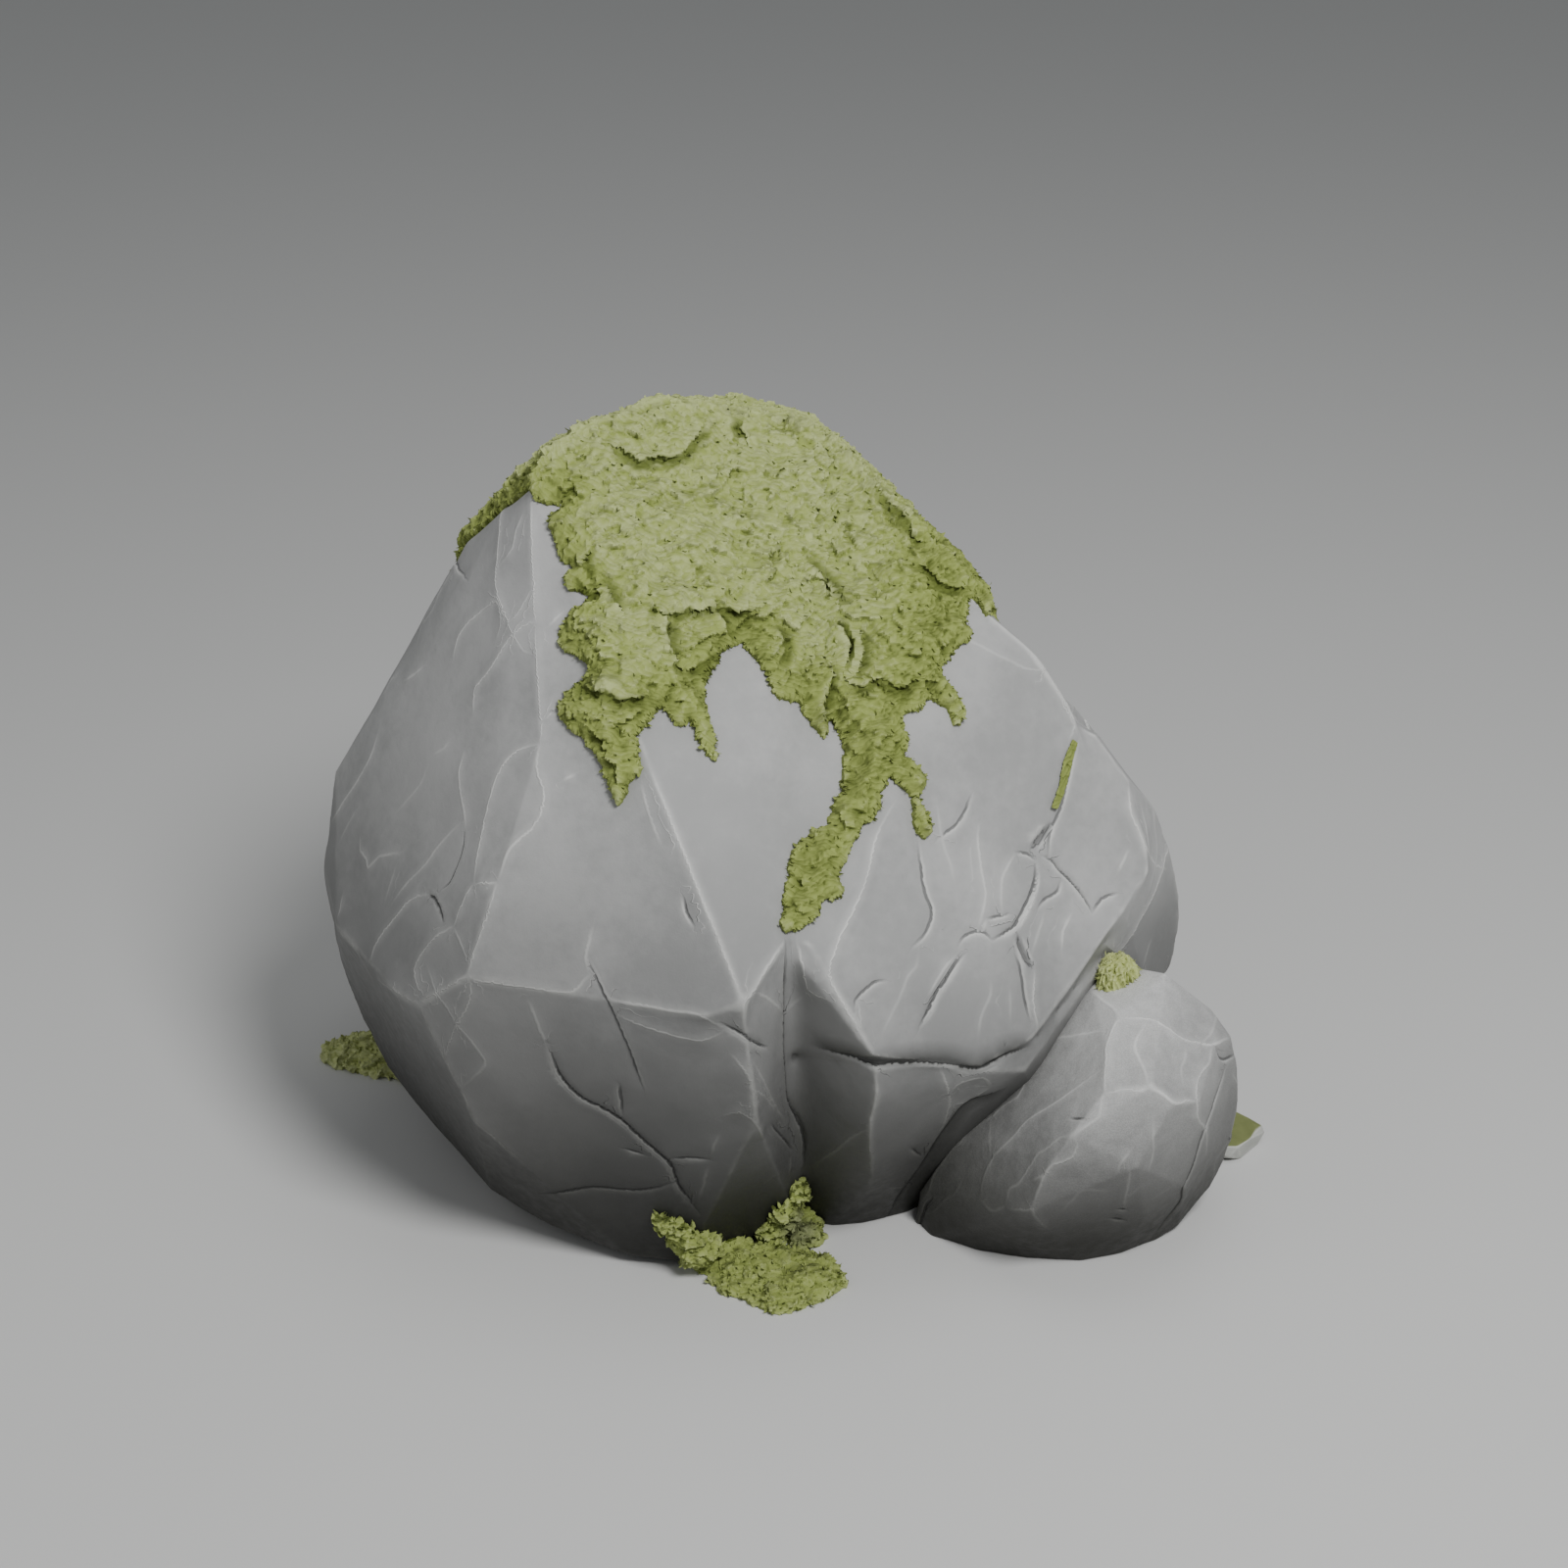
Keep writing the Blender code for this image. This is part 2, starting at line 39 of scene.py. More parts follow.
import bmesh
import bpy
import numpy as np
from mathutils import Vector
from mathutils.bvhtree import BVHTree
from mathutils.kdtree import KDTree

# ---------------------------------------------------------------- camera
# It stands well back from the boulder's middle, looks 25 degrees down and has a field of 30 degrees.
# Lines on the front are drawn on a sheet of 1600 by 1600 units, and land on the stone along sight lines.
ELEVATION = math.radians(25)
FIELD = math.radians(30)
SHEET = 1600
DISTANCE = 3.4335
AIM = Vector((0, 0, 0.45))
AWAY = Vector((0, math.cos(ELEVATION), -math.sin(ELEVATION)))
UPWARD = Vector((0, math.sin(ELEVATION), math.cos(ELEVATION)))
EYE = AIM - AWAY * DISTANCE


def shown(name, data):
    """An object at the origin for a mesh, a lamp or a camera."""
    made = bpy.data.objects.new(name, data)
    bpy.context.collection.objects.link(made)
    return made


camera = shown('camera', bpy.data.cameras.new('camera'))
camera.data.sensor_width = 36
camera.data.lens = 18 / math.tan(FIELD / 2)
camera.location = EYE
camera.rotation_euler = AWAY.to_track_quat('-Z', 'Y').to_euler()
bpy.context.scene.camera = camera


def sight(across, down):
    """The direction from EYE through a point of the sheet."""
    unit = 2 * math.tan(FIELD / 2) / SHEET
    return (AWAY + Vector(((across - SHEET / 2) * unit, 0, 0)) + UPWARD * (SHEET / 2 - down) * unit).normalized()


# ---------------------------------------------------------------- floor and light
# A plain pale floor under soft studio light: a large soft key high at the front right, a weak light
# overhead and a weaker fill at the left.
def shader_of(name, colour, roughness):
    made = bpy.data.materials.new(name)
    made.use_nodes = True
    shader = made.node_tree.nodes['Principled BSDF']
    shader.inputs['Base Color'].default_value = (*colour, 1)
    shader.inputs['Roughness'].default_value = roughness
    return made, made.node_tree, shader


bm = bmesh.new()
bmesh.ops.create_grid(bm, x_segments=1, y_segments=1, size=30)
floor = shown('floor', bpy.data.meshes.new('floor'))
bm.to_mesh(floor.data)
bm.free()
floor.data.materials.append(shader_of('floor_paint', (0.58, 0.58, 0.57), 0.9)[0])

world = bpy.data.worlds.new('studio')
bpy.context.scene.world = world
world.use_nodes = True
background = world.node_tree.nodes['Background']
background.inputs['Color'].default_value = (0.95, 0.98, 1.0, 1)
background.inputs['Strength'].default_value = 0.24


def soft_light(name, place, size, power):
    lamp = bpy.data.lights.new(name, 'AREA')
    lamp.shape, lamp.size, lamp.energy = 'DISK', size, power
    made = shown(name, lamp)
    made.location = place
    made.rotation_euler = (AIM - Vector(place)).to_track_quat('-Z', 'Y').to_euler()


soft_light('key', (1.5, -2.75, 4.0), size=1.6, power=204)
soft_light('overhead', (0.4, 0.3, 4.6), size=2.6, power=22)
soft_light('fill', (-3.2, -1.6, 2.6), size=3.0, power=15)


# ---------------------------------------------------------------- boulder
# One grey stone, cleft into masses that stay joined. Each mass is the hull of its corners, and the
# masses grow into one skin, which is then worn smooth, chipped along its edges and cracked.
def hull(corners):
    bm = bmesh.new()
    for corner in corners:
        bm.verts.new(corner)
    bmesh.ops.convex_hull(bm, input=bm.verts)
    bmesh.ops.delete(bm, geom=[v for v in bm.verts if not v.link_faces], context='VERTS')
    bmesh.ops.dissolve_limit(bm, angle_limit=math.radians(4), verts=bm.verts, edges=bm.edges)
    bmesh.ops.recalc_face_normals(bm, faces=bm.faces)
    return bm


def skin(lumps, grain):
    """One skin around several lumps that overlap, as a mesh of squares `grain` metres across."""
    whole = bmesh.new()
    for lump in lumps:
        single = bpy.data.meshes.new('lump')
        lump.to_mesh(single)
        whole.from_mesh(single)
        bpy.data.meshes.remove(single)
    return regrid(whole, grain)


def evaluated(thing):
    """What an object looks like with its modifiers, as a plain mesh."""
    return bpy.data.meshes.new_from_object(thing.evaluated_get(bpy.context.evaluated_depsgraph_get()))


def regrid(bm, grain):
    mesh = bpy.data.meshes.new('skin')
    bm.to_mesh(mesh)
    bm.free()
    thing = shown('skin', mesh)
    step = thing.modifiers.new('grid', 'REMESH')
    step.mode = 'VOXEL'
    step.voxel_size = grain
    made = evaluated(thing)
    bpy.data.objects.remove(thing, do_unlink=True)
    bpy.data.meshes.remove(mesh)
    return made


def unit(vectors):
    return vectors / np.maximum(np.linalg.norm(vectors, axis=1), 1e-9)[:, None]


def rows_of(parts, what, width, kind):
    found = np.empty(len(parts) * width, kind)
    parts.foreach_get(what, found)
    return found.reshape(-1, width)


def places(mesh):
    return rows_of(mesh.vertices, 'co', 3, float)


def outward(mesh):
    return rows_of(mesh.vertex_normals, 'vector', 3, 'f').astype(float)


def links(mesh):
    return rows_of(mesh.edges, 'vertices', 2, int)


def move(mesh, points):
    mesh.vertices.foreach_set('co', points.ravel())
    mesh.update()


def relax(values, edges, share, rounds):
    """Draw each row of values towards the mean of its neighbours, by a share for each vertex."""
    a, b = edges.T
    count = len(values)
    degree = np.maximum(np.bincount(a, minlength=count) + np.bincount(b, minlength=count), 1)
    for _ in range(rounds):
        mean = np.stack([(np.bincount(a, column[b], count) + np.bincount(b, column[a], count)) / degree
                         for column in values.T], 1)
        values = values + (mean - values) * share[:, None]
    return values


def lumps_of(points, size, seed):
    """Smooth noise from about -1 to 1, with lumps about `size` metres across."""
    spot = points / size + seed * 7.31
    cell = np.floor(spot).astype(np.int64)
    near = spot - cell
    blend = near ** 3 * (near * (near * 6 - 15) + 10)
    total = np.zeros(len(points))
    for corner in np.ndindex(2, 2, 2):
        key = ((cell + corner) * (73856093, 19349663, 83492791)).sum(1) + seed * 374761393
        key = (key ^ (key >> 13)) * 1274126177 & 0x7fffffff
        key = (key ^ (key >> 15)) * 668265263 & 0x7fffffff
        slope = np.stack([(key >> shift & 255) / 127.5 - 1 for shift in (3, 11, 19)], 1)
        total += np.prod(np.where(corner, blend, 1 - blend), 1) * (slope * (near - corner)).sum(1)
    return total * 1.6


def tree_of(mesh):
    return BVHTree.FromPolygons([v.co for v in mesh.vertices], [p.vertices for p in mesh.polygons])


def curve_through(run, step=7.0):
    """Points every few units along a smooth curve through a run of points."""
    run = [np.array(p, float) for p in run]
    ends = [2 * run[0] - run[1]] + run + [2 * run[-1] - run[-2]]
    found = []
    for p0, p1, p2, p3 in zip(ends, ends[1:], ends[2:], ends[3:]):
        for t in np.arange(0, 1, 1 / max(1, round(np.linalg.norm(p2 - p1) / step))):
            found.append(0.5 * (2 * p1 + (p2 - p0) * t + (2 * p0 - 5 * p1 + 4 * p2 - p3) * t * t
                                + (3 * p1 - p0 - 3 * p2 + p3) * t ** 3))
    return found + [run[-1]]


def landed(tree, run, step=7.0):
    """A run of points of the sheet, as a curve on the stone. It stops where it would jump to another face."""
    found = []
    for across, down in curve_through(run, step):
        spot = tree.ray_cast(EYE, sight(across, down))[0]
        if spot is not None:
            if found and (spot - found[-1]).length > 0.06:
                break
            found.append(spot)
    return np.array(found)


# How each kind of line works the stone, in millimetres: height and reach of the raised edge, drop of
# its left side, depth and half width of the groove, then how dark its painted shadow is and how light its worn
# lip.
KINDS = {
    'ridge': (2.2, 13, 0.0, 0.0, 3.0, 0.0, 1.15),
    'vein': (0.9, 8, 0.0, 0.0, 3.0, 0.0, 0.70),
    'faint': (0.3, 6, 0.0, 0.0, 3.0, 0.0, 0.38),
    'chip': (0.6, 11, 2.3, 0.8, 2.5, 0.9, 0.85),
    'crack': (0.8, 11, 2.4, 3.0, 3.0, 1.1, 0.95),
    'step': (0.6, 15, 5.0, 2.0, 6.5, 2.0, 0.8),
    'cleft': (0.0, 12, 0.0, 5.5, 5.0, 2.4, 0.0),
}
WIDEST = 0.034  # no line reaches further than this from its run, in metres


def work(points, normals, lines):
    """What the lines do at each point: its rise, its distance across the nearest, how dark and how light."""
    count = len(points)
    rise, nearest, across = np.zeros(count), np.full(count, 1.0), np.full(count, 1.0)
    dark, light = np.zeros(count), np.zeros(count)
    for kind, run in lines:
        if len(run) < 2:
            continue
        height, reach, drop, depth, half, darkness, lightness = KINDS[kind]
        chosen = np.flatnonzero(np.all((points > run.min(0) - WIDEST) & (points < run.max(0) + WIDEST), 1))
        if not len(chosen):
            continue
        best = np.full(len(chosen), np.inf)
        side, along = np.zeros(len(chosen)), np.zeros(len(chosen))
        lengths = np.linalg.norm(np.diff(run, axis=0), axis=1)
        before = np.concatenate([[0], np.cumsum(lengths)])
        for index, (start, end) in enumerate(zip(run, run[1:])):
            way = end - start
            offset = points[chosen] - start
            share = np.clip(offset @ way / max(way @ way, 1e-12), 0, 1)
            apart = offset - share[:, None] * way
            distance = np.linalg.norm(apart, axis=1)
            closer = distance < best
            best[closer] = distance[closer]
            turn = np.cross(way, normals[chosen[closer]])
            side[closer] = np.sign((turn * apart[closer]).sum(1))
            along[closer] = before[index] + share[closer] * lengths[index]
        taper = np.clip(np.minimum(along, before[-1] - along) / (0.18 * before[-1] + 0.006) + 0.12, 0, 1)
        u = best * 1000
        s = side * u
        fade = np.exp(-u / reach) * np.clip((34 - u) / 12, 0, 1) * taper
        left = 1 / (1 + np.exp(np.clip(s / (0.3 * half), -30, 30)))
        rise[chosen] += (height * fade - drop * left * fade
                         - depth * np.clip(1 - np.abs(s + 1.0) / half, 0, 1) * taper) * 0.001
        near = best < nearest[chosen]
        picked = chosen[near]
        nearest[picked], across[picked] = best[near], s[near] * 0.001
        close = np.clip(1.8 - best[near] / 0.008, 0, 1) * taper[near]
        dark[picked], light[picked] = darkness * close, lightness * close
    return rise, across, dark, light


def keep(mesh, name, values):
    mesh.attributes.new(name, 'FLOAT', 'POINT').data.foreach_set('value', values.astype('f'))


def sky_seen(mesh, trees, count=20):
    """How much light from the sky reaches each vertex past the stones, from 0 to 1."""
    points, normals = places(mesh), outward(mesh)
    turns = np.arange(count) * 2.39996
    up = 1 - (np.arange(count) + 0.5) / count * 0.94
    ways = np.stack([np.sqrt(1 - up * up) * np.cos(turns), np.sqrt(1 - up * up) * np.sin(turns), up], 1)
    facing = normals @ ways.T
    seen = np.zeros(len(points))
    starts = points + normals * 0.003
    for way, share in zip(ways, facing.T):
        way = Vector(way)
        for index in np.flatnonzero(share > 0.04):
            start = Vector(starts[index])
            if not any(tree.ray_cast(start, way, 1.5)[0] for tree in trees):
                seen[index] += share[index]
    return seen / up.sum()


def hollows(mesh, edges, rounds):
    """How hollow (negative) or proud (positive) each vertex lies, smoothed over its surroundings."""
    points, normals = places(mesh), outward(mesh)
    smooth = relax(points, edges, np.full(len(points), 0.6), rounds)
    return ((points - smooth) * normals).sum(1)


def words_in(text):
    """The words of a table. A row that starts with # is a note."""
    return ' '.join(row for row in text.splitlines() if not row.startswith('#')).split()


def spots_in(text):
    return [tuple(map(int, word.split(','))) for word in words_in(text)]


def corners_in(text):
    """Corners written in millimetres, as places in metres."""
    return [tuple(number / 1000 for number in spot) for spot in spots_in(text)]


def lines_in(text):
    """Lines on the sheet, each its kind and then the spots of its run."""
    found = []
    for word in words_in(text):
        if word.isalpha():
            found.append((word, []))
        else:
            found[-1][1].extend(spots_in(word))
    return found


LEFT_MASS = corners_in("""
# crown and the back shoulders
-278,-70,838 -222,-35,878 -150,-10,893 -70,0,890 20,10,872 -70,190,835 -220,150,800 30,200,800 -120,330,670
-300,260,630 -364,40,737 -360,130,690
# the long ridge left of the big front face, and the rim of the flank under it
-258,-262,624 -306,-326,488 -337,-370,396 -395,-333,341 -427,-290,333 -509,-151,341
# the ledge under the front face
-209,-399,407 -82,-444,390 -43,-445,405
# the ridge and the valley right of the front face
-56,-425,435 -103,-360,527 -150,-303,603 -177,-251,682 2,-375,442 72,-246,518 109,-128,606 88,-69,676
# left flank, shoulder to foot
-452,0,587 -526,0,463 -536,-50,372 -534,-30,284 -526,-40,223 -498,-50,142 -470,-60,89
# back
-490,150,440 -450,270,300 -470,160,120 -300,380,420 -320,370,160 -80,435,430 -50,420,120
# under the ledge
-366,-340,278 -340,-345,201 -55,-425,327 -30,-400,235 0,-330,278 13,-300,176 -339,-250,49 -269,-290,28
-178,-330,14 -111,-340,11 14,-260,19
# foot
-110,-320,0 -250,-260,0 -350,-160,0 -420,0,0 -400,160,0 -280,310,0 -50,360,0 50,200,0 10,-230,0
""")
RIGHT_MASS = corners_in("""
# crown, up to the left mass's
-60,70,865 42,20,850 92,10,806 142,-30,752 216,-20,675 -60,190,815 70,180,765 180,150,650
# left rim of the slab, and the valley beside it
105,-10,745 151,-130,675 139,-195,600 118,-250,543 86,-307,482 52,-365,423 64,-388,372 97,-399,314
25,-370,437 2,-370,437 72,-238,500 100,-120,600
# foot and right rim of the slab
217,-345,267 273,-300,280 338,-219,342 385,-171,371 407,-143,394 320,-85,585 270,-80,657 234,-80,691
# inside
0,-320,272 -60,150,300 330,150,300 360,-60,220 340,100,500
""")
RIGHT_FOOT = corners_in("""
98,-390,298 218,-340,262 266,-305,242 101,-380,252 94,-365,206 100,-315,108 20,-300,176 0,-320,272
33,-290,109 25,-240,0 57,-250,0 91,-245,0 146,-220,0 224,-320,227 183,-310,168 157,-240,41 344,-205,300
394,-130,300 403,-100,235 330,-60,0 442,-20,200 360,100,0 430,120,200 100,300,0 -100,0,0 0,250,300
380,100,320
""")
BACK_MASS = corners_in("""
-60,200,825 70,190,765 190,160,645 -80,335,670 70,330,640 230,280,560 320,100,530 385,200,430 330,330,370
200,410,400 60,445,420 -80,430,420 430,130,330 420,200,200 330,340,200 180,420,180 50,430,150 -80,410,130
360,110,0 280,260,0 100,350,0 -60,330,0 0,0,0 0,0,600
""")
LOBE = corners_in("""
333,-84,560 354,-78,548 391,-88,499 393,-110,471 410,-126,429 415,-136,403 316,-128,490 301,-158,436
351,-178,369 360,-50,536 399,-50,473 432,-50,439 457,-30,362 470,-10,293 470,0,244 462,0,202 391,-160,356
366,-175,330 430,-60,215 445,120,350 450,110,220 360,140,460 250,100,500 300,100,200
""")
SMALL_BOULDER = corners_in("""
356,-190,293 403,-180,301 431,-200,306 461,-200,280 485,-210,266 508,-220,236 517,-220,201 522,-220,149
513,-220,90 494,-230,47 456,-260,7 429,-280,0 385,-305,0 339,-320,0 280,-315,0 224,-300,0 170,-270,0
153,-240,0 156,-250,47 196,-270,126 227,-270,160 269,-260,205 286,-230,230 321,-210,261 355,-230,286
375,-265,287 400,-270,287 419,-275,282 445,-285,266 481,-250,244 357,-310,275 352,-365,248 394,-375,261
423,-375,243 452,-340,227 318,-395,209 286,-390,161 273,-375,114 384,-400,177 448,-330,106 420,-60,220
480,-100,200 500,-100,100 460,-90,0 330,-60,120 300,-100,0
""")
SIDE_STONE = corners_in("""
554,-31,22 567,-45,22 572,-70,22 560,-97,22 545,-112,22 583,-57,18 586,-61,10 576,-73,0 580,-50,0 550,-105,0
535,-115,8 500,-110,22 505,-100,0 540,-15,20 480,0,26 440,-20,24 430,-35,0 460,5,0 550,-20,0
""")

# The left side of a run is its dark side.
FRONT_LINES = lines_in("""
# the long ridge from the shoulder, its node and the cells under it
ridge 543,512 548,541 552,570 555,591 555,615 559,639
ridge 559,639 553,652 553,674 555,693 557,717 555,738 545,757
vein 569,720 563,729 556,736
vein 559,639 569,628 575,624
ridge 545,757 522,772 509,791 502,811 496,837 491,861 487,880 484,902
ridge 545,757 552,776 556,798 555,818 550,835 537,856 524,874 507,900
ridge 484,902 495,901 507,900
ridge 484,902 474,920 468,935 463,946
ridge 507,900 509,920 508,935 500,954 489,972 478,994
vein 463,946 471,963 478,985
ridge 463,946 448,955 434,970 424,989 428,1004 436,1015
ridge 478,996 462,1001 446,1009 436,1016 430,1026
vein 436,985 445,1009 458,1029 467,1044 491,1075 495,1087 472,1111
ridge 478,996 482,1007 479,1024 471,1039 466,1046 458,1080
ridge 430,1026 436,1042 447,1062 458,1080 472,1111 485,1144 512,1162 546,1194
ridge 478,996 491,1005 515,1010 539,1011 565,1009 584,1005 595,998 602,994
vein 600,992 597,977 600,960 604,946
vein 573,797 587,789
# the left flank
ridge 462,673 466,656 474,641 487,628 508,614 513,628 512,639 507,653
ridge 557,634 539,637 526,647 515,661 506,676 496,691 487,701 484,714 483,728
vein 545,600 535,617 526,632 519,636
vein 535,522 526,545 524,559 511,578
faint 465,578 450,602 432,633 426,657
faint 455,590 438,628 413,654
vein 432,680 423,689 411,696
vein 386,747 380,768 367,794 350,820 338,840
faint 364,826 355,842 347,859
vein 368,852 368,868 374,876 376,885 387,874 408,870
faint 404,885 398,903 393,921
faint 436,783 428,802 404,830
faint 460,755 452,765 441,772
vein 474,767 469,787 470,805 474,828 475,848
chip 450,909 458,902 465,887 472,868 475,848
vein 469,841 450,861 434,883 413,905 401,922
ridge 377,983 384,964 393,950 408,932 421,917 437,912
crack 453,939 448,924 443,915 436,911
vein 350,913 348,926 345,938
ridge 345,942 360,963 372,981 381,1000
ridge 385,998 402,1011 411,1016 430,1026
vein 405,1007 408,1018 415,1038
# the face under the ledge
chip 658,1112 641,1067 629,1038 617,1014 608,994 600,978
ridge 621,1010 649,1017 679,1027 708,1036 738,1049
crack 734,1044 748,1052 764,1061 783,1071
ridge 632,1036 656,1045 680,1053 699,1058 717,1060 737,1053
crack 556,1062 562,1078 571,1099 584,1114 597,1124 616,1133 634,1145 653,1162 671,1178 682,1188 688,1199
    690,1208 701,1223 713,1240
chip 630,1106 632,1120 634,1138
vein 560,1071 550,1050 539,1020
chip 684,1184 704,1183 725,1185
vein 725,1178 728,1168 733,1158
vein 723,1191 717,1213 712,1227
chip 552,1219 570,1218 584,1216 606,1213 634,1215 652,1216 671,1213 689,1207
chip 635,1173 646,1176 659,1180
ridge 736,1139 752,1133 760,1138 773,1147 784,1151
chip 786,1148 796,1158 809,1176
vein 807,1179 806,1199
ridge 747,1076 756,1098 765,1121 773,1138
vein 767,1082 778,1101 790,1127 802,1144
vein 762,1108 778,1117 792,1133
faint 777,1210 790,1200 800,1192
# the ridge right of the front face, and the cleft
ridge 655,790 678,838 699,882 717,922 732,955 743,982 751,1001 758,1023
crack 801,962 800,990 800,1032 800,1070 802,1100 804,1122 812,1140 819,1160 818,1190
ridge 799,960 784,984 771,1010 765,1018 758,1025 754,1036 750,1047
vein 771,1013 782,1017 799,1032
vein 655,800 663,830 675,862
chip 695,915 699,930 707,947
ridge 814,966 818,988 821,1004 829,1014 846,1022
faint 819,1017 811,1024 803,1034
vein 830,1187 850,1175 871,1158 888,1150
# the slab
ridge 912,820 894,855 886,890 874,922 860,950 852,972 851,992 860,1025 876,1052 892,1077
chip 932,967 943,957 949,946 952,929 945,909 941,884 938,862
faint 938,973 935,987 927,997 919,1019 908,1040 900,1059
chip 956,858 962,854 978,841 988,824 992,812
vein 1001,839 998,852 1000,876 1003,896 1006,914 1002,936 999,948
faint 957,820 962,857 970,880 974,900
chip 1037,871 1048,872 1056,879
vein 1037,871 1029,884 1023,896 1022,916 1024,932
crack 1013,961 1026,952 1037,944 1042,935 1051,916 1057,897 1058,880
ridge 1059,888 1055,915 1046,935 1040,949
chip 979,965 982,959 992,953 1003,952 1013,961
chip 1008,939 1019,936 1031,934
vein 1008,939 1003,951
cleft 1037,955 1041,966 1046,977 1052,989
chip 1051,1041 1045,1008 1042,988 1037,972
ridge 1056,990 1054,1011 1052,1041
crack 939,1049 949,1030 956,1014 968,997 976,984 984,975
vein 947,1016 962,990 975,975
chip 872,1030 874,1021 884,1010 892,1004 904,1002
vein 876,1022 878,1036 880,1052
faint 1011,1000 1011,1016 1001,1040 999,1059
faint 1031,1008 1032,1043
cleft 1053,867 1062,856 1073,842
crack 1064,874 1075,880 1080,887 1093,900 1107,917 1114,932
chip 1071,874 1072,852 1079,836 1085,820 1092,790 1100,757
chip 1059,928 1069,917 1080,911 1083,900
faint 1066,932 1059,955 1053,975
vein 1094,932 1085,952 1084,972
chip 1116,932 1125,918 1141,913
vein 1140,890 1147,876 1151,867
ridge 1046,660 1064,683 1072,698 1087,737 1092,755
# the lobe
ridge 1153,802 1153,825 1156,838 1168,865 1173,874
vein 1164,819 1170,851 1173,874 1185,886 1196,884
vein 1175,958 1170,972 1165,988
vein 1137,958 1133,972 1130,986
# the foot under the slab
step 846,1073 870,1080 893,1086 926,1086 957,1087 985,1091 1003,1091 1020,1081 1038,1073
ridge 893,1092 895,1115 888,1150 891,1200
ridge 957,1096 966,1109 969,1124 964,1143 959,1156
vein 967,1117 976,1106 994,1100 1004,1099 1012,1108
vein 970,1126 985,1124 1000,1115 1011,1109
step 1010,1116 985,1126 962,1156 946,1182 926,1210 905,1240
chip 929,1172 940,1181
vein 941,1187 931,1206
vein 905,1211 920,1210 933,1206
""")

grain = 0.0034
masses = [hull(corners) for corners in (LEFT_MASS, RIGHT_MASS, RIGHT_FOOT, BACK_MASS, LOBE)]


def edge_lines(lumps, least):
    """The edges of several hulls that bend by at least so many degrees, where no other hull covers them."""
    walls = [[(face.calc_center_median(), face.normal.copy()) for face in lump.faces] for lump in lumps]
    found = []
    for index, lump in enumerate(lumps):
        for edge in lump.edges:
            if len(edge.link_faces) < 2 or edge.calc_face_angle() < math.radians(least):
                continue
            run = []
            for share in np.linspace(0, 1, 13):
                spot = edge.verts[0].co.lerp(edge.verts[1].co, share)
                if any(all((spot - at).dot(way) < -0.001 for at, way in wall)
                       for other, wall in enumerate(walls) if other != index):
                    if len(run) > 1:
                        found.append(np.array(run))
                    run = []
                else:
                    run.append(tuple(spot))
            if len(run) > 1:
                found.append(np.array(run))
    return found


def drawn_to(points, runs, reach):
    """Move the points that lie within reach of a run onto it."""
    best, goal = np.full(len(points), reach), points.copy()
    for run in runs:
        start, way = run[0], run[-1] - run[0]
        near = np.flatnonzero(np.all((points > np.minimum(run[0], run[-1]) - reach)
                                     & (points < np.maximum(run[0], run[-1]) + reach), 1))
        if not len(near):
            continue
        share = np.clip((points[near] - start) @ way / (way @ way), 0, 1)
        spot = start + share[:, None] * way
        apart = np.linalg.norm(points[near] - spot, axis=1)
        closer = apart < best[near]
        best[near[closer]], goal[near[closer]] = apart[closer], spot[closer]
    return goal


def along_edges(run, runs, reach):
    """Draw a line onto the sharp edges that it runs beside, without a kink where it leaves them."""
    if len(run) < 3:
        return run
    shift = drawn_to(run, runs, reach) - run
    for _ in range(3):
        shift[1:-1] = (shift[:-2] + shift[1:-1] + shift[2:]) / 3
    return run + shift


def worn(mesh, sharp, size, scale=1.0):
    """Wear a stone: its strong edges stay crisp, its weak ones go, and its faces swell and dip."""
    edges = links(mesh)
    points = places(mesh)
    crisp = drawn_to(points, sharp, 0.62 * size)
    held = np.linalg.norm(crisp - points, axis=1) > 0
    held = (held | (drawn_to(crisp, sharp, 1e-4) != crisp).any(1)).astype(float)[:, None]
    move(mesh, crisp)
    near = relax(held, edges, np.ones(len(points)), 2)
    soft = 0.8 * np.clip(1 - near[:, 0] * 1.6, 0, 1) * (held[:, 0] == 0)
    points = relax(crisp, edges, soft, int(34 * (0.0052 * scale / size) ** 2))
    points = relax(points, edges, np.full(len(points), 0.5), 5)
    move(mesh, points)
    normals = outward(mesh)
    swell = (0.0030 * lumps_of(points, 0.16 * scale, 1) + 0.0010 * lumps_of(points, 0.05 * scale, 2))
    move(mesh, points + normals * (swell * scale)[:, None])


def wandering(tree, mesh, count, low, high, seed, away):
    """Lines like the front's for the sides that face away, wandering over the stone."""
    chance = np.random.default_rng(seed)
    points, normals = places(mesh), outward(mesh)
    unseen = np.flatnonzero(away(points, normals))
    found = []
    for index in chance.choice(unseen, count):
        spot, normal = Vector(points[index]), Vector(normals[index])
        way = normal.cross(Vector(chance.normal(size=3))).normalized()
        run = []
        for _ in range(int(chance.uniform(low, high) / 0.012)):
            run.append(tuple(spot))
            way = (way + Vector(chance.normal(size=3)) * 0.16).normalized()
            spot, normal, _, _ = tree.find_nearest(spot + way * 0.012)
            way = (way - normal * way.dot(normal)).normalized()
        kind = chance.choice(['ridge', 'vein', 'chip', 'crack', 'faint'], p=[0.30, 0.24, 0.22, 0.06, 0.18])
        found.append((kind, np.array(run)))
    return found


boulder_mesh = skin(masses, grain)
sharp = edge_lines(masses, 14)
worn(boulder_mesh, sharp, grain)
stone = tree_of(boulder_mesh)
lines = [(kind, along_edges(landed(stone, run), sharp, 0.015 if kind == 'ridge' else 0.004))
         for kind, run in FRONT_LINES]
MIDDLE = np.array((-0.05, 0.03, 0.35))


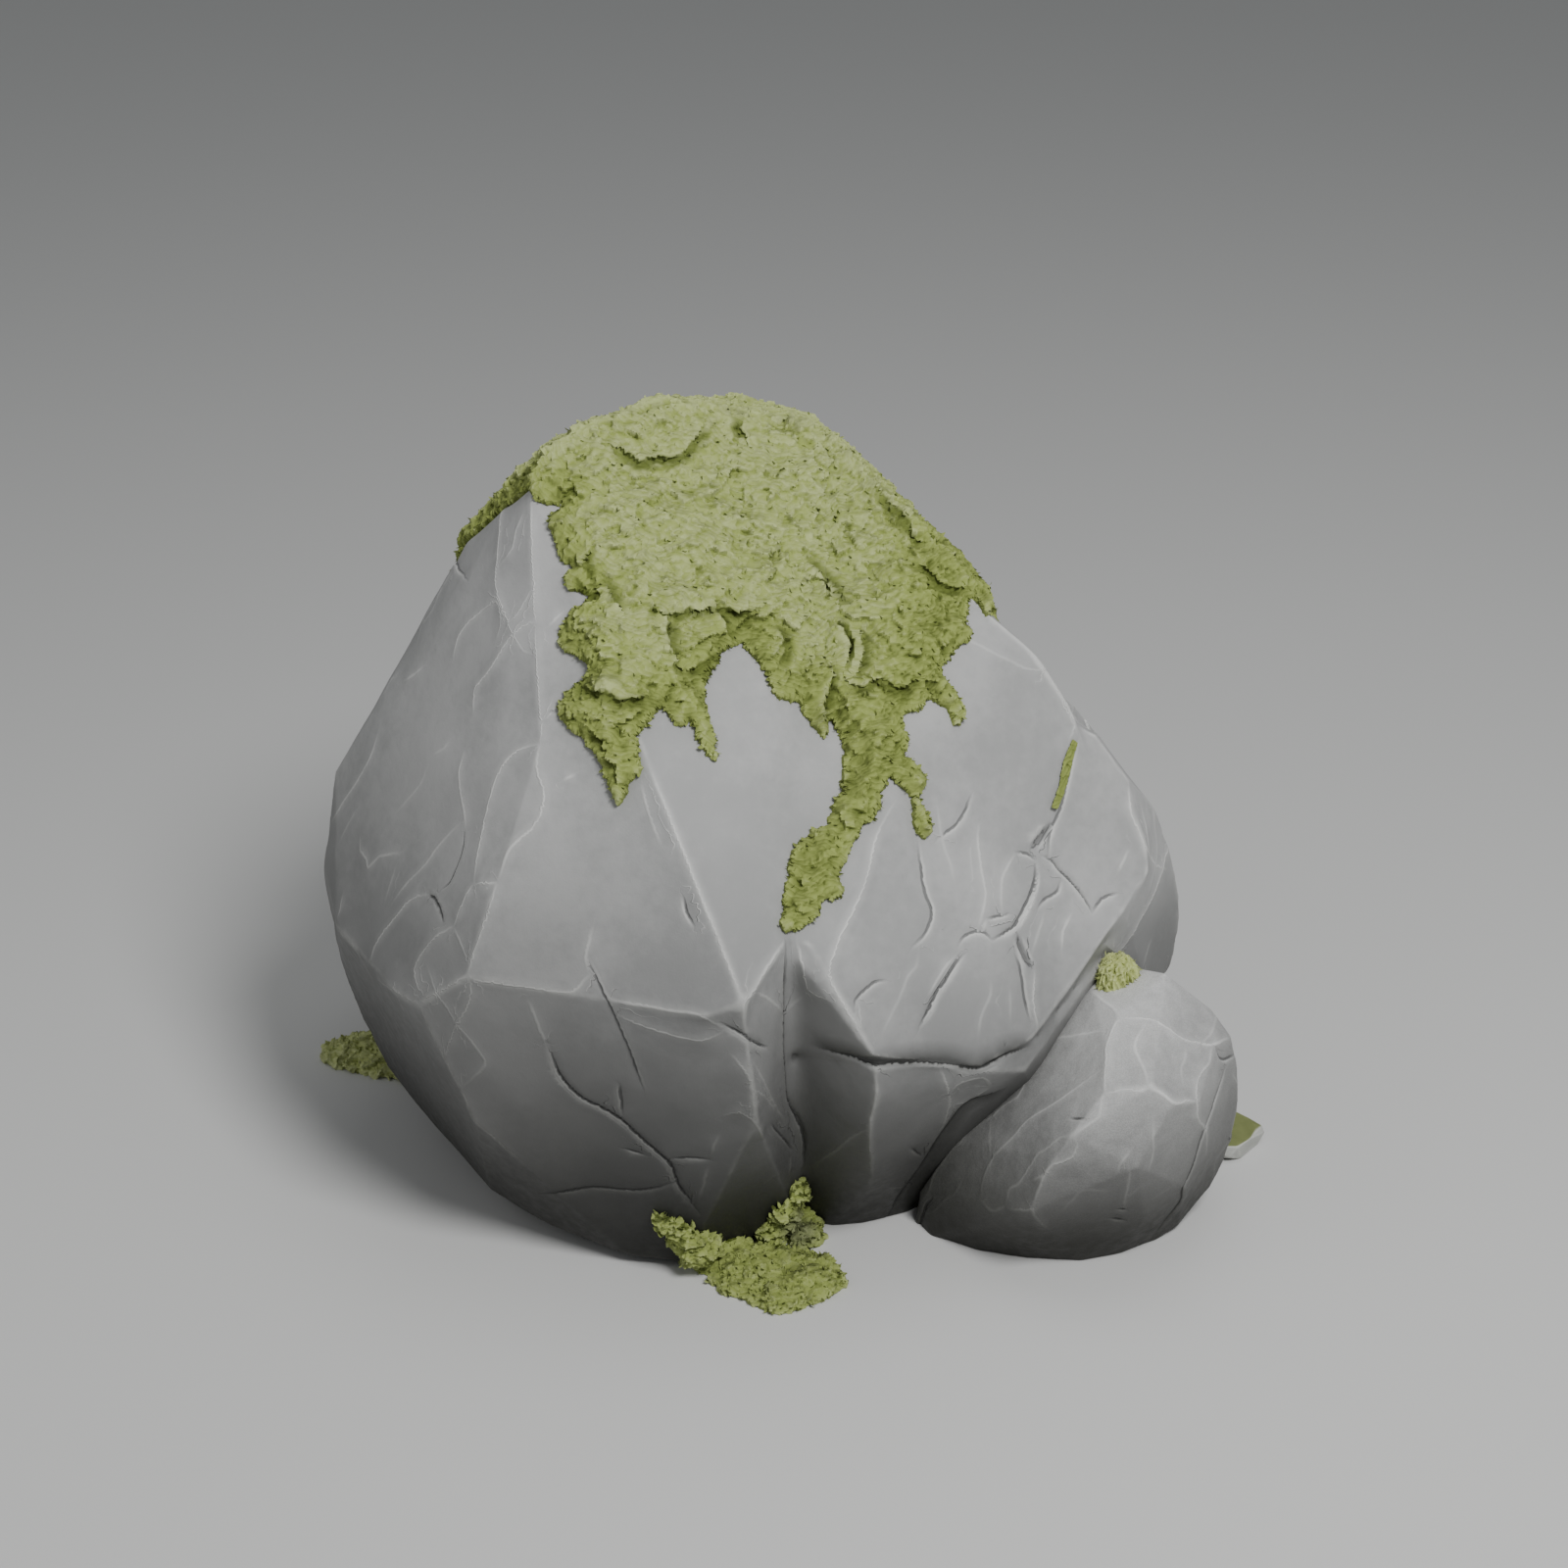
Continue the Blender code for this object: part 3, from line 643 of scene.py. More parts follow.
def behind(points, normals):
    return (normals @ np.array(AWAY) > -0.12) & (points[:, 2] > 0.05)


lines += [('ridge', run) for run in edge_lines(masses, 24) if behind(run[1:2], unit(run[1:2] - MIDDLE))[0]]
lines += wandering(stone, boulder_mesh, 60, 0.10, 0.38, 4, behind)


def cut(mesh, lines):
    """Work the lines into a stone, which keeps its flat foot."""
    points, normals = places(mesh), outward(mesh)
    points = points + normals * work(points, normals, lines)[0][:, None]
    points[:, 2] = np.maximum(points[:, 2], 0.0)
    move(mesh, points)


cut(boulder_mesh, lines)


def finish_stone(name, mesh, lines, most, foot_height, others=(), lean=0.0):
    """Thin a stone's mesh where it is plain, and store what its material reads."""
    thing = shown(name, mesh)
    faces = 2 * len(mesh.polygons)
    if faces > most:
        _, across, dark, light = work(places(mesh), outward(mesh), lines)
        wanted = (np.abs(across) < 0.007) & (dark + light > 0.02)
        busy = thing.vertex_groups.new(name='plain')
        for weight, chosen in ((1.0, ~wanted), (0.35, wanted)):
            busy.add([int(i) for i in np.flatnonzero(chosen)], weight, 'REPLACE')
        step = thing.modifiers.new('thin', 'DECIMATE')
        step.ratio = most / faces
        step.vertex_group = 'plain'
        step.vertex_group_factor = 1.0
        mesh = evaluated(thing)
        thing.modifiers.clear()
        thing.vertex_groups.clear()
        thing.data = mesh
        mesh.name = name
    mesh.polygons.foreach_set('use_smooth', np.ones(len(mesh.polygons), bool))
    edges, points, normals = links(mesh), places(mesh), outward(mesh)
    _, across, dark, light = work(points, normals, lines)
    for stored, values in (('across', across), ('dark', dark), ('light', light),
                           ('proud', hollows(mesh, edges, 7) * 1000)):
        keep(mesh, stored, values)
    # painted shade climbs from the ground, higher at the left, and gathers where little sky is seen
    height = foot_height * (1 - lean * np.tanh((points[:, 0] - 0.02) / 0.12))
    climb = np.clip((points[:, 2] - 0.015) / height + 0.05 * lumps_of(points, 0.12, 8), 0.02, 1) ** 1.3
    seen = relax(sky_seen(mesh, [tree_of(mesh), *others])[:, None], edges, np.ones(len(points)), 3)[:, 0]
    # painted shadow beside the slab's step, fading over about 26 mm
    below = work(points, outward(mesh), [line for line in lines if line[0] == 'step'])[1]
    climb = climb * (1 - 0.85 * np.clip(1 + below / 0.026, 0, 1) * (below < 0.0005))
    keep(mesh, 'painted_shade', np.clip(1 - climb * np.clip(0.55 + 1.2 * seen, 0, 1), 0, 1))
    return thing


beside = [BVHTree.FromBMesh(hull(SMALL_BOULDER))]
boulder = finish_stone('boulder_stone', boulder_mesh, lines, most=194000, foot_height=0.46,
                       others=beside, lean=0.22)


def add(tree, kind, inputs=(), **settings):
    """A node with its settings and its inputs, each a value or another node's output."""
    made = tree.nodes.new(kind)
    for name, value in settings.items():
        setattr(made, name, value)
    for name, value in dict(inputs).items():
        if isinstance(value, bpy.types.NodeSocket):
            tree.links.new(value, made.inputs[name])
        else:
            made.inputs[name].default_value = value
    return made


def math_of(tree, operation, a, b=0.0, clamp=False):
    return add(tree, 'ShaderNodeMath', {0: a, 1: b}, operation=operation, use_clamp=clamp).outputs[0]


def times(tree, a, b):
    return math_of(tree, 'MULTIPLY', a, b)


def plus(tree, first, *others):
    for other in others:
        first = math_of(tree, 'ADD', first, other)
    return first


def blended(tree, share, a, b, mode='MIX'):
    made = add(tree, 'ShaderNodeMix', {0: share}, data_type='RGBA', blend_type=mode)
    for socket, value in ((6, a), (7, b)):
        if isinstance(value, bpy.types.NodeSocket):
            tree.links.new(value, made.inputs[socket])
        else:
            made.inputs[socket].default_value = value
    return made.outputs[2]


def ramp(tree, value, low, high, to_low=0.0, to_high=1.0, smooth=True):
    made = add(tree, 'ShaderNodeMapRange', {0: value, 1: low, 2: high, 3: to_low, 4: to_high})
    made.interpolation_type = 'SMOOTHSTEP' if smooth else 'LINEAR'
    return made.outputs[0]


def cloud(tree, place, scale, detail=2.0, roughness=0.5, **more):
    return add(tree, 'ShaderNodeTexNoise', {'Vector': place, 'Scale': scale, 'Detail': detail,
                                            'Roughness': roughness, **more}).outputs['Fac']


def new_group(name, ins, outs):
    group = bpy.data.node_groups.new(name, 'ShaderNodeTree')
    for direction, sockets in (('INPUT', ins), ('OUTPUT', outs)):
        for socket, kind, *value in sockets:
            made = group.interface.new_socket(socket, in_out=direction, socket_type='NodeSocket' + kind)
            if value:
                made.default_value = value[0]
    return group, group.nodes.new('NodeGroupInput'), group.nodes.new('NodeGroupOutput')


def stone_group():
    """Stone colour, roughness and height from the lines, the hollows and the painted shade stored on its mesh.
    """
    group, given, result = new_group('worn_stone', [
        ('Light Tone', 'Color', (0.40, 0.40, 0.395, 1)), ('Dark Tone', 'Color', (0.31, 0.312, 0.308, 1)),
        ('Edge Tone', 'Color', (0.62, 0.62, 0.60, 1)), ('Damp Tone', 'Color', (0.045, 0.045, 0.038, 1)),
        ('Damp', 'Float', 1.0), ('Grain', 'Float', 1.0)],
        [('Color', 'Color'), ('Roughness', 'Float'), ('Height', 'Float')])
    place = add(group, 'ShaderNodeTexCoord').outputs['Object']
    stored = {name: add(group, 'ShaderNodeAttribute', attribute_name=name).outputs['Fac']
              for name in ('across', 'dark', 'light', 'proud', 'painted_shade')}
    wobble = ramp(group, cloud(group, place, 60.0), 0.3, 0.7, -0.0006, 0.0006, smooth=False)
    across = plus(group, stored['across'], wobble)
    # a thin shadow on the left of a line, and a pale worn lip on its right
    apart = math_of(group, 'ABSOLUTE', math_of(group, 'SUBTRACT', across, 0.0007))
    lip = plus(group, ramp(group, apart, 0.0004, 0.0030, 0.8, 0), ramp(group, apart, 0.0, 0.012, 0.24, 0))
    shade = math_of(group, 'ABSOLUTE', plus(group, across, 0.0020))
    shade = plus(group, ramp(group, shade, 0.0003, 0.0020, 0.85, 0), ramp(group, shade, 0.0, 0.010, 0.18, 0))
    lip = times(group, lip, stored['light'])
    shade = math_of(group, 'MULTIPLY', shade, stored['dark'], clamp=True)
    broad = cloud(group, place, 5.0, 3.0, 0.55)
    fine = cloud(group, place, 75.0, 4.0, 0.6)
    tone = plus(group, times(group, broad, 0.75), times(group, fine, 0.25))
    colour = blended(group, ramp(group, tone, 0.36, 0.64), given.outputs['Dark Tone'],
                     given.outputs['Light Tone'])
    speckle = math_of(group, 'SUBTRACT', given.outputs['Grain'], 1.0, clamp=True)
    speckle = times(group, speckle, ramp(group, cloud(group, place, 900.0, 2.0), 0.35, 0.65, 0, 0.30))
    colour = blended(group, speckle, colour, (0.17, 0.17, 0.165, 1))
    proud = ramp(group, stored['proud'], 0.22, 1.2, 0, 0.6)
    colour = blended(group, proud, colour, given.outputs['Edge Tone'])
    # painted shade in the hollows
    sunk = ramp(group, stored['proud'], -0.25, -1.4, 0, 0.75)
    colour = blended(group, sunk, colour, (0.16, 0.16, 0.155, 1))
    wear = times(group, lip, ramp(group, cloud(group, place, 22.0, 2.0), 0.25, 0.6, 0.55, 0.95))
    colour = blended(group, wear, colour, given.outputs['Edge Tone'])
    colour = blended(group, times(group, shade, 0.72), colour, (0.075, 0.077, 0.078, 1))
    # painted shade towards the ground, in sheltered hollows and beside the slab's step, mixed towards a
    # near-black tone; the same mask also lowers the roughness a little
    shade_share = times(group, stored['painted_shade'], given.outputs['Damp'])
    colour = blended(group, shade_share, colour, blended(group, 1.0, colour, given.outputs['Damp Tone'], 'MULTIPLY'))
    group.links.new(colour, result.inputs['Color'])
    rough = math_of(group, 'SUBTRACT', ramp(group, fine, 0.3, 0.7, 0.60, 0.78), times(group, shade_share, 0.12))
    group.links.new(rough, result.inputs['Roughness'])
    grain = times(group, cloud(group, place, 420.0, 3.0, 0.65), 0.00016)
    dimples = times(group, fine, 0.0005)
    height = times(group, plus(group, grain, dimples), given.outputs['Grain'])
    height = plus(group, height, times(group, lip, 0.0007))
    height = math_of(group, 'SUBTRACT', height, times(group, shade, 0.0016))
    group.links.new(height, result.inputs['Height'])
    return group


worn_stone = stone_group()


def material_from(group, name, colour, roughness, specular, relief, values):
    """A material that takes its colour, roughness and relief from a node group, with its own values in it."""
    made, tree, shader = shader_of(name, colour, roughness)
    shader.inputs['Specular IOR Level'].default_value = specular
    used = add(tree, 'ShaderNodeGroup', node_tree=group)
    for socket, value in values.items():
        used.inputs[socket.replace('_', ' ')].default_value = value
    bump = add(tree, 'ShaderNodeBump', {'Height': used.outputs['Height'], 'Distance': 1.0, 'Strength': relief})
    tree.links.new(used.outputs['Color'], shader.inputs['Base Color'])
    tree.links.new(used.outputs['Roughness'], shader.inputs['Roughness'])
    tree.links.new(bump.outputs['Normal'], shader.inputs['Normal'])
    return made


def stone_material(name, **values):
    return material_from(worn_stone, name, (0.36, 0.36, 0.35), 0.7, 0.35, 0.9, values)


def fixed(thing, material, node=None):
    """Give a piece its material and fix it to the part, in place of a node where one is named."""
    if material:
        thing.data.materials.append(material)
    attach(thing, 'root')
    if node:
        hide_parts(node)


fixed(boulder, stone_material('grey_stone_worn'), 'boulder')


# ---------------------------------------------------------------- small boulder
# A rounder stone that leans into the foot of the big one. It is coarser and paler, and worn veins
# divide its faces.
SMALL_LINES = lines_in("""
vein 933,1236 957,1200 981,1165 1000,1147 1012,1139 1024,1128 1038,1119 1048,1100 1054,1076 1066,1054
    1080,1041 1094,1024 1117,1006
vein 1114,1011 1122,1021 1133,1028 1143,1038
ridge 1143,1038 1168,1040 1179,1043 1190,1049 1210,1062 1237,1065 1255,1062
ridge 1143,1038 1133,1058 1128,1073 1128,1095 1129,1118
vein 1170,1043 1162,1060 1161,1078 1166,1095 1172,1110
ridge 1129,1118 1151,1115 1172,1110
ridge 1172,1110 1186,1117 1199,1125 1208,1121 1219,1121
ridge 1237,1066 1230,1083 1221,1104 1219,1121 1221,1139 1227,1157 1231,1180
faint 1210,1066 1207,1090 1207,1110
vein 1129,1118 1123,1132 1114,1145 1099,1160
vein 1099,1160 1081,1165 1064,1178 1048,1195 1033,1213 1026,1230
ridge 1099,1160 1097,1176 1087,1185 1068,1197 1061,1211 1052,1230
vein 1050,1198 1058,1198 1068,1197
ridge 1026,1230 1050,1229 1057,1239 1068,1255
vein 1026,1230 1011,1233 1000,1225
vein 1126,1091 1105,1106 1074,1128 1050,1143 1031,1163 1011,1187 1003,1206 1000,1225
faint 1012,1139 1010,1154 1011,1184
vein 1068,1059 1087,1058 1105,1055 1129,1052
faint 983,1193 983,1202 968,1224 948,1239
chip 1090,1142 1098,1142 1106,1143
vein 1155,1173 1146,1184 1137,1197
vein 1176,1143 1177,1176 1172,1197
vein 1151,1185 1153,1202 1148,1224 1149,1235
faint 1161,1211 1154,1218 1148,1224
chip 1138,1235 1144,1235 1151,1236
chip 1131,1244 1139,1245 1148,1247
faint 1079,1239 1105,1217 1137,1215
faint 1174,1224 1186,1217 1198,1210
chip 1182,1255 1202,1229 1207,1215 1214,1200 1221,1181 1227,1157 1236,1136 1242,1118 1247,1103 1250,1090
chip 1238,1068 1246,1082 1259,1080
""")
# Where its veins meet, its faces come to a corner: the place on the sheet, and its height over the plain
# hull in metres.
SMALL_NODES = [
    (1143, 1038, 0.0060), (1129, 1118, 0.0075), (1172, 1110, 0.0060), (1219, 1121, 0.0060), (1237, 1066, 0.0060),
    (1099, 1160, 0.0060), (1052, 1230, 0.0075), (1026, 1230, 0.0045), (1227, 1157, 0.0060), (1190, 1049, 0.0045),
    (1114, 1011, 0.0045), (1000, 1225, 0.0045), (1166, 1238, 0.0060), (1061, 1178, 0.0030), (1038, 1119, 0.0030),
]


def cornered(lump, nodes):
    """A hull with further corners, each raised from its surface along the way the surface faces."""
    bare = BVHTree.FromBMesh(lump)
    corners = [tuple(v.co) for v in lump.verts]
    for across, down, height in nodes:
        spot, normal, _, _ = bare.ray_cast(EYE, sight(across, down))
        corners.append(tuple(spot + normal * height))
    return hull(corners)


SMALL_MIDDLE = Vector((0.34, -0.23, 0.12))
small_lump = cornered(hull(SMALL_BOULDER), SMALL_NODES)
small_grain = 0.0025
boulder_tree = tree_of(boulder.data)
small_mesh = skin([small_lump], small_grain)
small_sharp = edge_lines([small_lump], 9)
worn(small_mesh, small_sharp, small_grain, scale=0.5)
small_tree = tree_of(small_mesh)
small_lines = [(kind, along_edges(landed(small_tree, run, 4.0), small_sharp, 0.008))
               for kind, run in SMALL_LINES]


def small_behind(points, normals):
    return ((points - SMALL_MIDDLE) @ np.array(AWAY) > -0.01) & (points[:, 2] > 0.03)


small_lines += [('ridge', run) for run in edge_lines([small_lump], 20) if small_behind(run[6:7], 0)[0]]
small_lines += wandering(small_tree, small_mesh, 26, 0.05, 0.16, 9, small_behind)
cut(small_mesh, small_lines)
small_boulder = finish_stone('small_boulder_stone', small_mesh, small_lines, most=120000, foot_height=0.33,
                             others=[boulder_tree])
coarse_stone = stone_material('grey_stone_coarse', Grain=2.2, Light_Tone=(0.69, 0.69, 0.68, 1),
                              Dark_Tone=(0.49, 0.49, 0.485, 1), Edge_Tone=(0.90, 0.90, 0.88, 1))
fixed(small_boulder, coarse_stone, 'small_boulder')


# ---------------------------------------------------------------- side stone
# A small flat stone that lies on the ground beside the small boulder. Its upper face is under a thin
# film of green algae, which is colour alone.
side_grain = 0.0018
side_mesh = skin([hull(SIDE_STONE)], side_grain)
side_sharp = edge_lines([hull(SIDE_STONE)], 14)
worn(side_mesh, side_sharp, side_grain, scale=0.25)
side_stone = finish_stone('side_stone_flat', side_mesh, [('vein', run) for run in side_sharp], most=30000,
                          foot_height=0.02)
film = (outward(side_stone.data)[:, 2] - 0.70) / 0.22 + 0.25 * lumps_of(places(side_stone.data), 0.02, 3)
keep(side_stone.data, 'film', np.clip(film, 0, 1))
# it takes a quarter of the painted shade
side_material = stone_material('grey_stone_green', Light_Tone=(0.56, 0.57, 0.53, 1),
                               Dark_Tone=(0.46, 0.47, 0.42, 1), Edge_Tone=(0.72, 0.72, 0.68, 1), Damp=0.25)
tree = side_material.node_tree
shader = tree.nodes['Principled BSDF']
bare_colour = shader.inputs['Base Color'].links[0].from_socket
patchy = cloud(tree, add(tree, 'ShaderNodeTexCoord').outputs['Object'], 60.0)
algae = blended(tree, patchy, (0.135, 0.155, 0.052, 1), (0.215, 0.240, 0.090, 1))
covered = add(tree, 'ShaderNodeAttribute', attribute_name='film').outputs['Fac']
filmed = blended(tree, covered, bare_colour, algae)
tree.links.new(filmed, shader.inputs['Base Color'])
fixed(side_stone, side_material, 'side_stone')


# ---------------------------------------------------------------- moss cap
# Moss has grown over the crown as one thick mat and runs down the front in tongues. Its surface is
# crumpled into small flakes, its rim is lifted off the stone, and its edge is ragged.
MOSS_LINES = lines_in("""
lip 718,432 703,454 691,466 666,465 654,471 634,456 618,452
lobe 776,619 759,622 735,619 724,619 699,622 680,625 667,615
lobe 678,628 684,643 684,660 690,678
lobe 732,618 740,640 750,659
lobe 790,636 798,652 800,668 792,684
lobe 846,676 846,700 838,718 843,732
lobe 822,566 834,584 852,600 856,622
lobe 616,590 622,606 634,624
lobe 668,706 640,712 612,706 590,697
lobe 746,657 722,672 704,682 690,678
lobe 940,690 915,700 895,690 880,700 862,690
lobe 876,640 880,662 872,690
lobe 764,450 758,438 757,424
lobe 948,553 935,547 924,526 908,513 896,492
lobe 985,600 965,596 948,580 930,574
lobe 604,556 596,575 604,598
lobe 870,790 858,800 846,798
gap 680,628 681,642 683,658
gap 731,616 736,630 741,646
gap 853,634 862,648 866,660 863,678
gap 846,694 842,712 839,730
gap 900,476 905,486 910,496
gap 836,592 842,598 846,606
gap 586,600 596,606 604,616
""")
KINDS['lip'] = (3.0, 24, 9.0, 0.0, 3.0, 1.0, 0.0)
KINDS['lobe'] = (2.5, 18, 7.5, 0.0, 3.0, 1.0, 0.0)
KINDS['gap'] = (2.0, 14, 3.0, 10.0, 4.5, 1.6, 0.0)
CAP_FRONT = spots_in("""
545,508 559,515 575,518 563,538 575,571 582,580 577,603 598,610 577,635 573,659 597,677 599,690 570,720
575,733 592,749 610,772 623,801 633,821 647,796 655,789 653,766 658,744 675,723 692,745 703,742 720,768
732,788 735,768 727,740 720,716 720,694 740,665 757,659 779,686 792,712 814,715 822,735 840,753 848,738
857,760 860,798 850,816 842,843 825,850 810,868 803,889 799,915 797,948 811,946 834,933 846,919 859,910
860,890 871,858 878,843 894,833 898,810 905,795 919,802 928,814 932,843 940,854 948,846 937,814 942,798
922,774 924,756 922,732 938,724 951,715 961,722 973,740 982,728 972,707 959,682 977,665 992,648 984,637
988,614 995,618 1007,630
""")
CAP_BACK = corners_in("""
236,-30 215,30 245,80 220,130 265,190 190,220 200,285 130,270 90,330 50,300 10,370 -20,310 -80,330 -120,375
-150,310 -210,290 -250,340 -270,260 -330,230 -345,180 -410,160 -378,100 -373,65 -352,35 -325,0 -298,-30
""")


def inside(points, outline):
    """Which points lie inside an outline, seen from above."""
    found = np.zeros(len(points), bool)
    x, y = points[:, 0], points[:, 1]
    for (ax, ay), (bx, by) in zip(outline, np.roll(outline, -1, 0)):
        crosses = (ay > y) != (by > y)
        found ^= crosses & (x < (bx - ax) * (y - ay) / (by - ay + 1e-15) + ax)
    return found


def slope_of(values, points, edges):
    """The steepest way up of a value over a mesh, as one vector for each vertex."""
    a, b = edges.T
    way = points[b] - points[a]
    part = way * ((values[b] - values[a]) / np.maximum((way ** 2).sum(1), 1e-12))[:, None]
    return np.stack([np.bincount(a, column, len(values)) + np.bincount(b, column, len(values))
                     for column in part.T], 1)


def flakes(points, normals, size, spacing, seed):
    """The height, from about -1 to 1, of a surface crumpled into small tilted flakes that overlap downhill."""
    chance = np.random.default_rng(seed)
    warped = points + 0.35 * size * np.stack([lumps_of(points, size * 1.3, seed + k) for k in range(3)], 1)
    downhill = np.array((0, 0, -1.0)) + normals * normals[:, 2:3]
    picked = chance.choice(len(points), max(8, int(len(points) * 1.2 * (spacing / size) ** 2)), replace=False)
    tree = KDTree(len(picked))
    for index, spot in enumerate(warped[picked]):
        tree.insert(spot, index)
    tree.balance()
    owner = np.array([tree.find(spot)[1] for spot in warped])
    offset = (warped - warped[picked][owner]) / size
    tilt = downhill + chance.normal(size=(len(picked), 3))[owner] * 0.6
    level = chance.uniform(-0.35, 0.35, len(picked))[owner]
    return np.clip((offset * tilt).sum(1) * 1.1 + level, -1, 1)


def crinkle(points, normals, spacing, seed):
    """The relief of crumpled moss, in metres: flakes of three sizes, and creases between them."""
    creased = 0.42 - np.abs(lumps_of(points * (1, 1, 1.6), 0.010, seed + 5))
    return (0.0036 * flakes(points, normals, 0.0175, spacing, seed)
            + 0.0023 * flakes(points, normals, 0.0095, spacing, seed + 1)
            + 0.0008 * flakes(points, normals, 0.0060, spacing, seed + 2) + 0.0010 * creased)


crumple_grain = 0.00276
front = []
for place in curve_through(CAP_FRONT, 3.0):
    spot = boulder_tree.ray_cast(EYE, sight(*place))[0]
    if spot is not None:
        front.append(spot)
rim = list(front)
for start, end in zip([tuple(front[-1][:2])] + CAP_BACK, CAP_BACK + [tuple(front[0][:2])]):
    for share in np.arange(0, 1, 0.08):
        spot = boulder_tree.ray_cast(Vector((*(np.array(start) + (np.array(end) - start) * share), 2)),
                                     Vector((0, 0, -1)))[0]
        if spot is not None:
            rim.append(spot)
outline = np.array([spot[:2] for spot in rim[::2]])
rim_tree = KDTree(len(rim))
for index, spot in enumerate(rim):
    rim_tree.insert(spot, index)
rim_tree.balance()


def depth_in(points, normals):
    """How far inside the moss's ragged outline each point of the stone lies, in metres."""
    within = inside(points, outline) & (normals[:, 2] > -0.25) & (points[:, 2] > 0.42)
    away = np.array([rim_tree.find(spot)[2] for spot in points])
    signed = np.where(within, away, -away)
    return signed - 0.0012 + 0.0035 * lumps_of(points, 0.009, 5) + 0.005 * lumps_of(points, 0.024, 6)


bm = bmesh.new()
bm.from_mesh(skin(masses, crumple_grain))
bmesh.ops.delete(bm, geom=[v for v in bm.verts if v.co.z < 0.42], context='VERTS')
points = np.array([v.co for v in bm.verts])
normals = np.array([v.normal for v in bm.verts])
signed = depth_in(points, normals)
bmesh.ops.delete(bm, geom=[v for v, d in zip(bm.verts, signed) if d < -0.010], context='VERTS')
bmesh.ops.delete(bm, geom=[v for v in bm.verts if not v.link_faces], context='VERTS')
cap_mesh = bpy.data.meshes.new('moss_cap_mat')
bm.to_mesh(cap_mesh)
bm.free()


def crumpled(mesh, foot, normals, outwards, signed, rim_height, depth, reach, lines, spacing, seed, amount):
    """Raise a moss mesh from the stone at `foot`: thick within, thin and lifted at its rim, all crumpled."""
    edges = links(mesh)
    body = np.clip(signed, 0, None)
    thick = rim_height + depth * (1 - np.exp(-body / reach))
    thick = np.where(signed > 0, thick, np.maximum(signed * 4, -0.006))
    deep = np.clip(signed / 0.012, 0, 1)
    points = foot + outwards * thick[:, None]
    swell = 0.0055 * lumps_of(foot, 0.055, seed) + 0.0035 * lumps_of(foot, 0.028, seed + 1)
    points = points + outwards * (swell * deep * amount)[:, None]
    move(mesh, points)
    facing = outward(mesh)
    surface, nearest = tree_of(mesh), KDTree(len(points))
    for index, spot in enumerate(points):
        nearest.insert(spot, index)
    nearest.balance()
    lines = [(kind, foot[[nearest.find(spot)[1] for spot in landed(surface, run, 5.0)]]) for kind, run in lines]
    rise, across, dark, _ = work(foot, normals, lines)
    # painted shadow in the pockets, kept to the dropped side of each lobe and gap
    dark = np.clip(dark * (across < 0.002), 0, 1.3)
    edge = np.clip(signed / 0.012, 0.3, 1) * (signed > 0)
    high = rise * deep + amount * edge * crinkle(points, facing, spacing, seed + 2)
    # the rim, and each fold within it, is drawn out over what lies below it
    near_rim = np.clip(1 - signed / 0.010, 0, 1) * (signed > 0)
    near_fold = (np.clip(1 - across / 0.010, 0, 1) * (across > 0) * deep
                 * (0.7 + 0.8 * lumps_of(foot, 0.012, seed + 9)))
    lean = (unit(slope_of(signed, foot, edges)) * (-0.0020 * near_rim)[:, None]
            - unit(slope_of(across, foot, edges)) * (0.0060 * near_fold)[:, None])
    points = points + facing * high[:, None] + lean
    move(mesh, points)
    return dark


def finish_moss(name, mesh, dark, painted_lighting):
    mesh.polygons.foreach_set('use_smooth', np.ones(len(mesh.polygons), bool))
    mesh.set_sharp_from_angle(angle=math.radians(34))
    edges = links(mesh)
    for stored, values in (('proud', hollows(mesh, edges, 6) * 1000),
                           ('broad', hollows(mesh, edges, 60) * 1000), ('pocket_shadow', dark), ('painted_lighting', painted_lighting)):
        keep(mesh, stored, values)
    return shown(name, mesh)


points, rough_normals = places(cap_mesh), outward(cap_mesh)
foot, normals = np.empty_like(points), np.empty_like(points)
for index, spot in enumerate(points):
    at, normal, _, _ = boulder_tree.find_nearest(spot)
    foot[index], normals[index] = at, normal
signed = depth_in(foot, normals)
outwards = unit(relax(unit(foot - MIDDLE) + 0.8 * rough_normals, links(cap_mesh), np.full(len(foot), 0.6), 60))
rough = 0.80 + 0.20 * np.clip((foot[:, 2] - 0.60) / 0.16, 0, 1)
dark = crumpled(cap_mesh, foot, normals, outwards, signed, rim_height=0.004, depth=0.022, reach=0.020,
                lines=MOSS_LINES, spacing=crumple_grain, seed=11, amount=rough)
# painted light and shade: lighter high up and deep within the mat, darker at its rim, lower down and towards the
# right
painted_lighting = np.clip(signed / 0.05, 0, 1) * np.clip((foot[:, 2] - 0.42) / 0.34, 0.1, 1)
painted_lighting = painted_lighting * (1 - 0.75 * np.clip((foot[:, 0] - 0.06) / 0.10, 0, 1))
moss_cap = finish_moss('moss_cap_mat', cap_mesh, dark, painted_lighting)


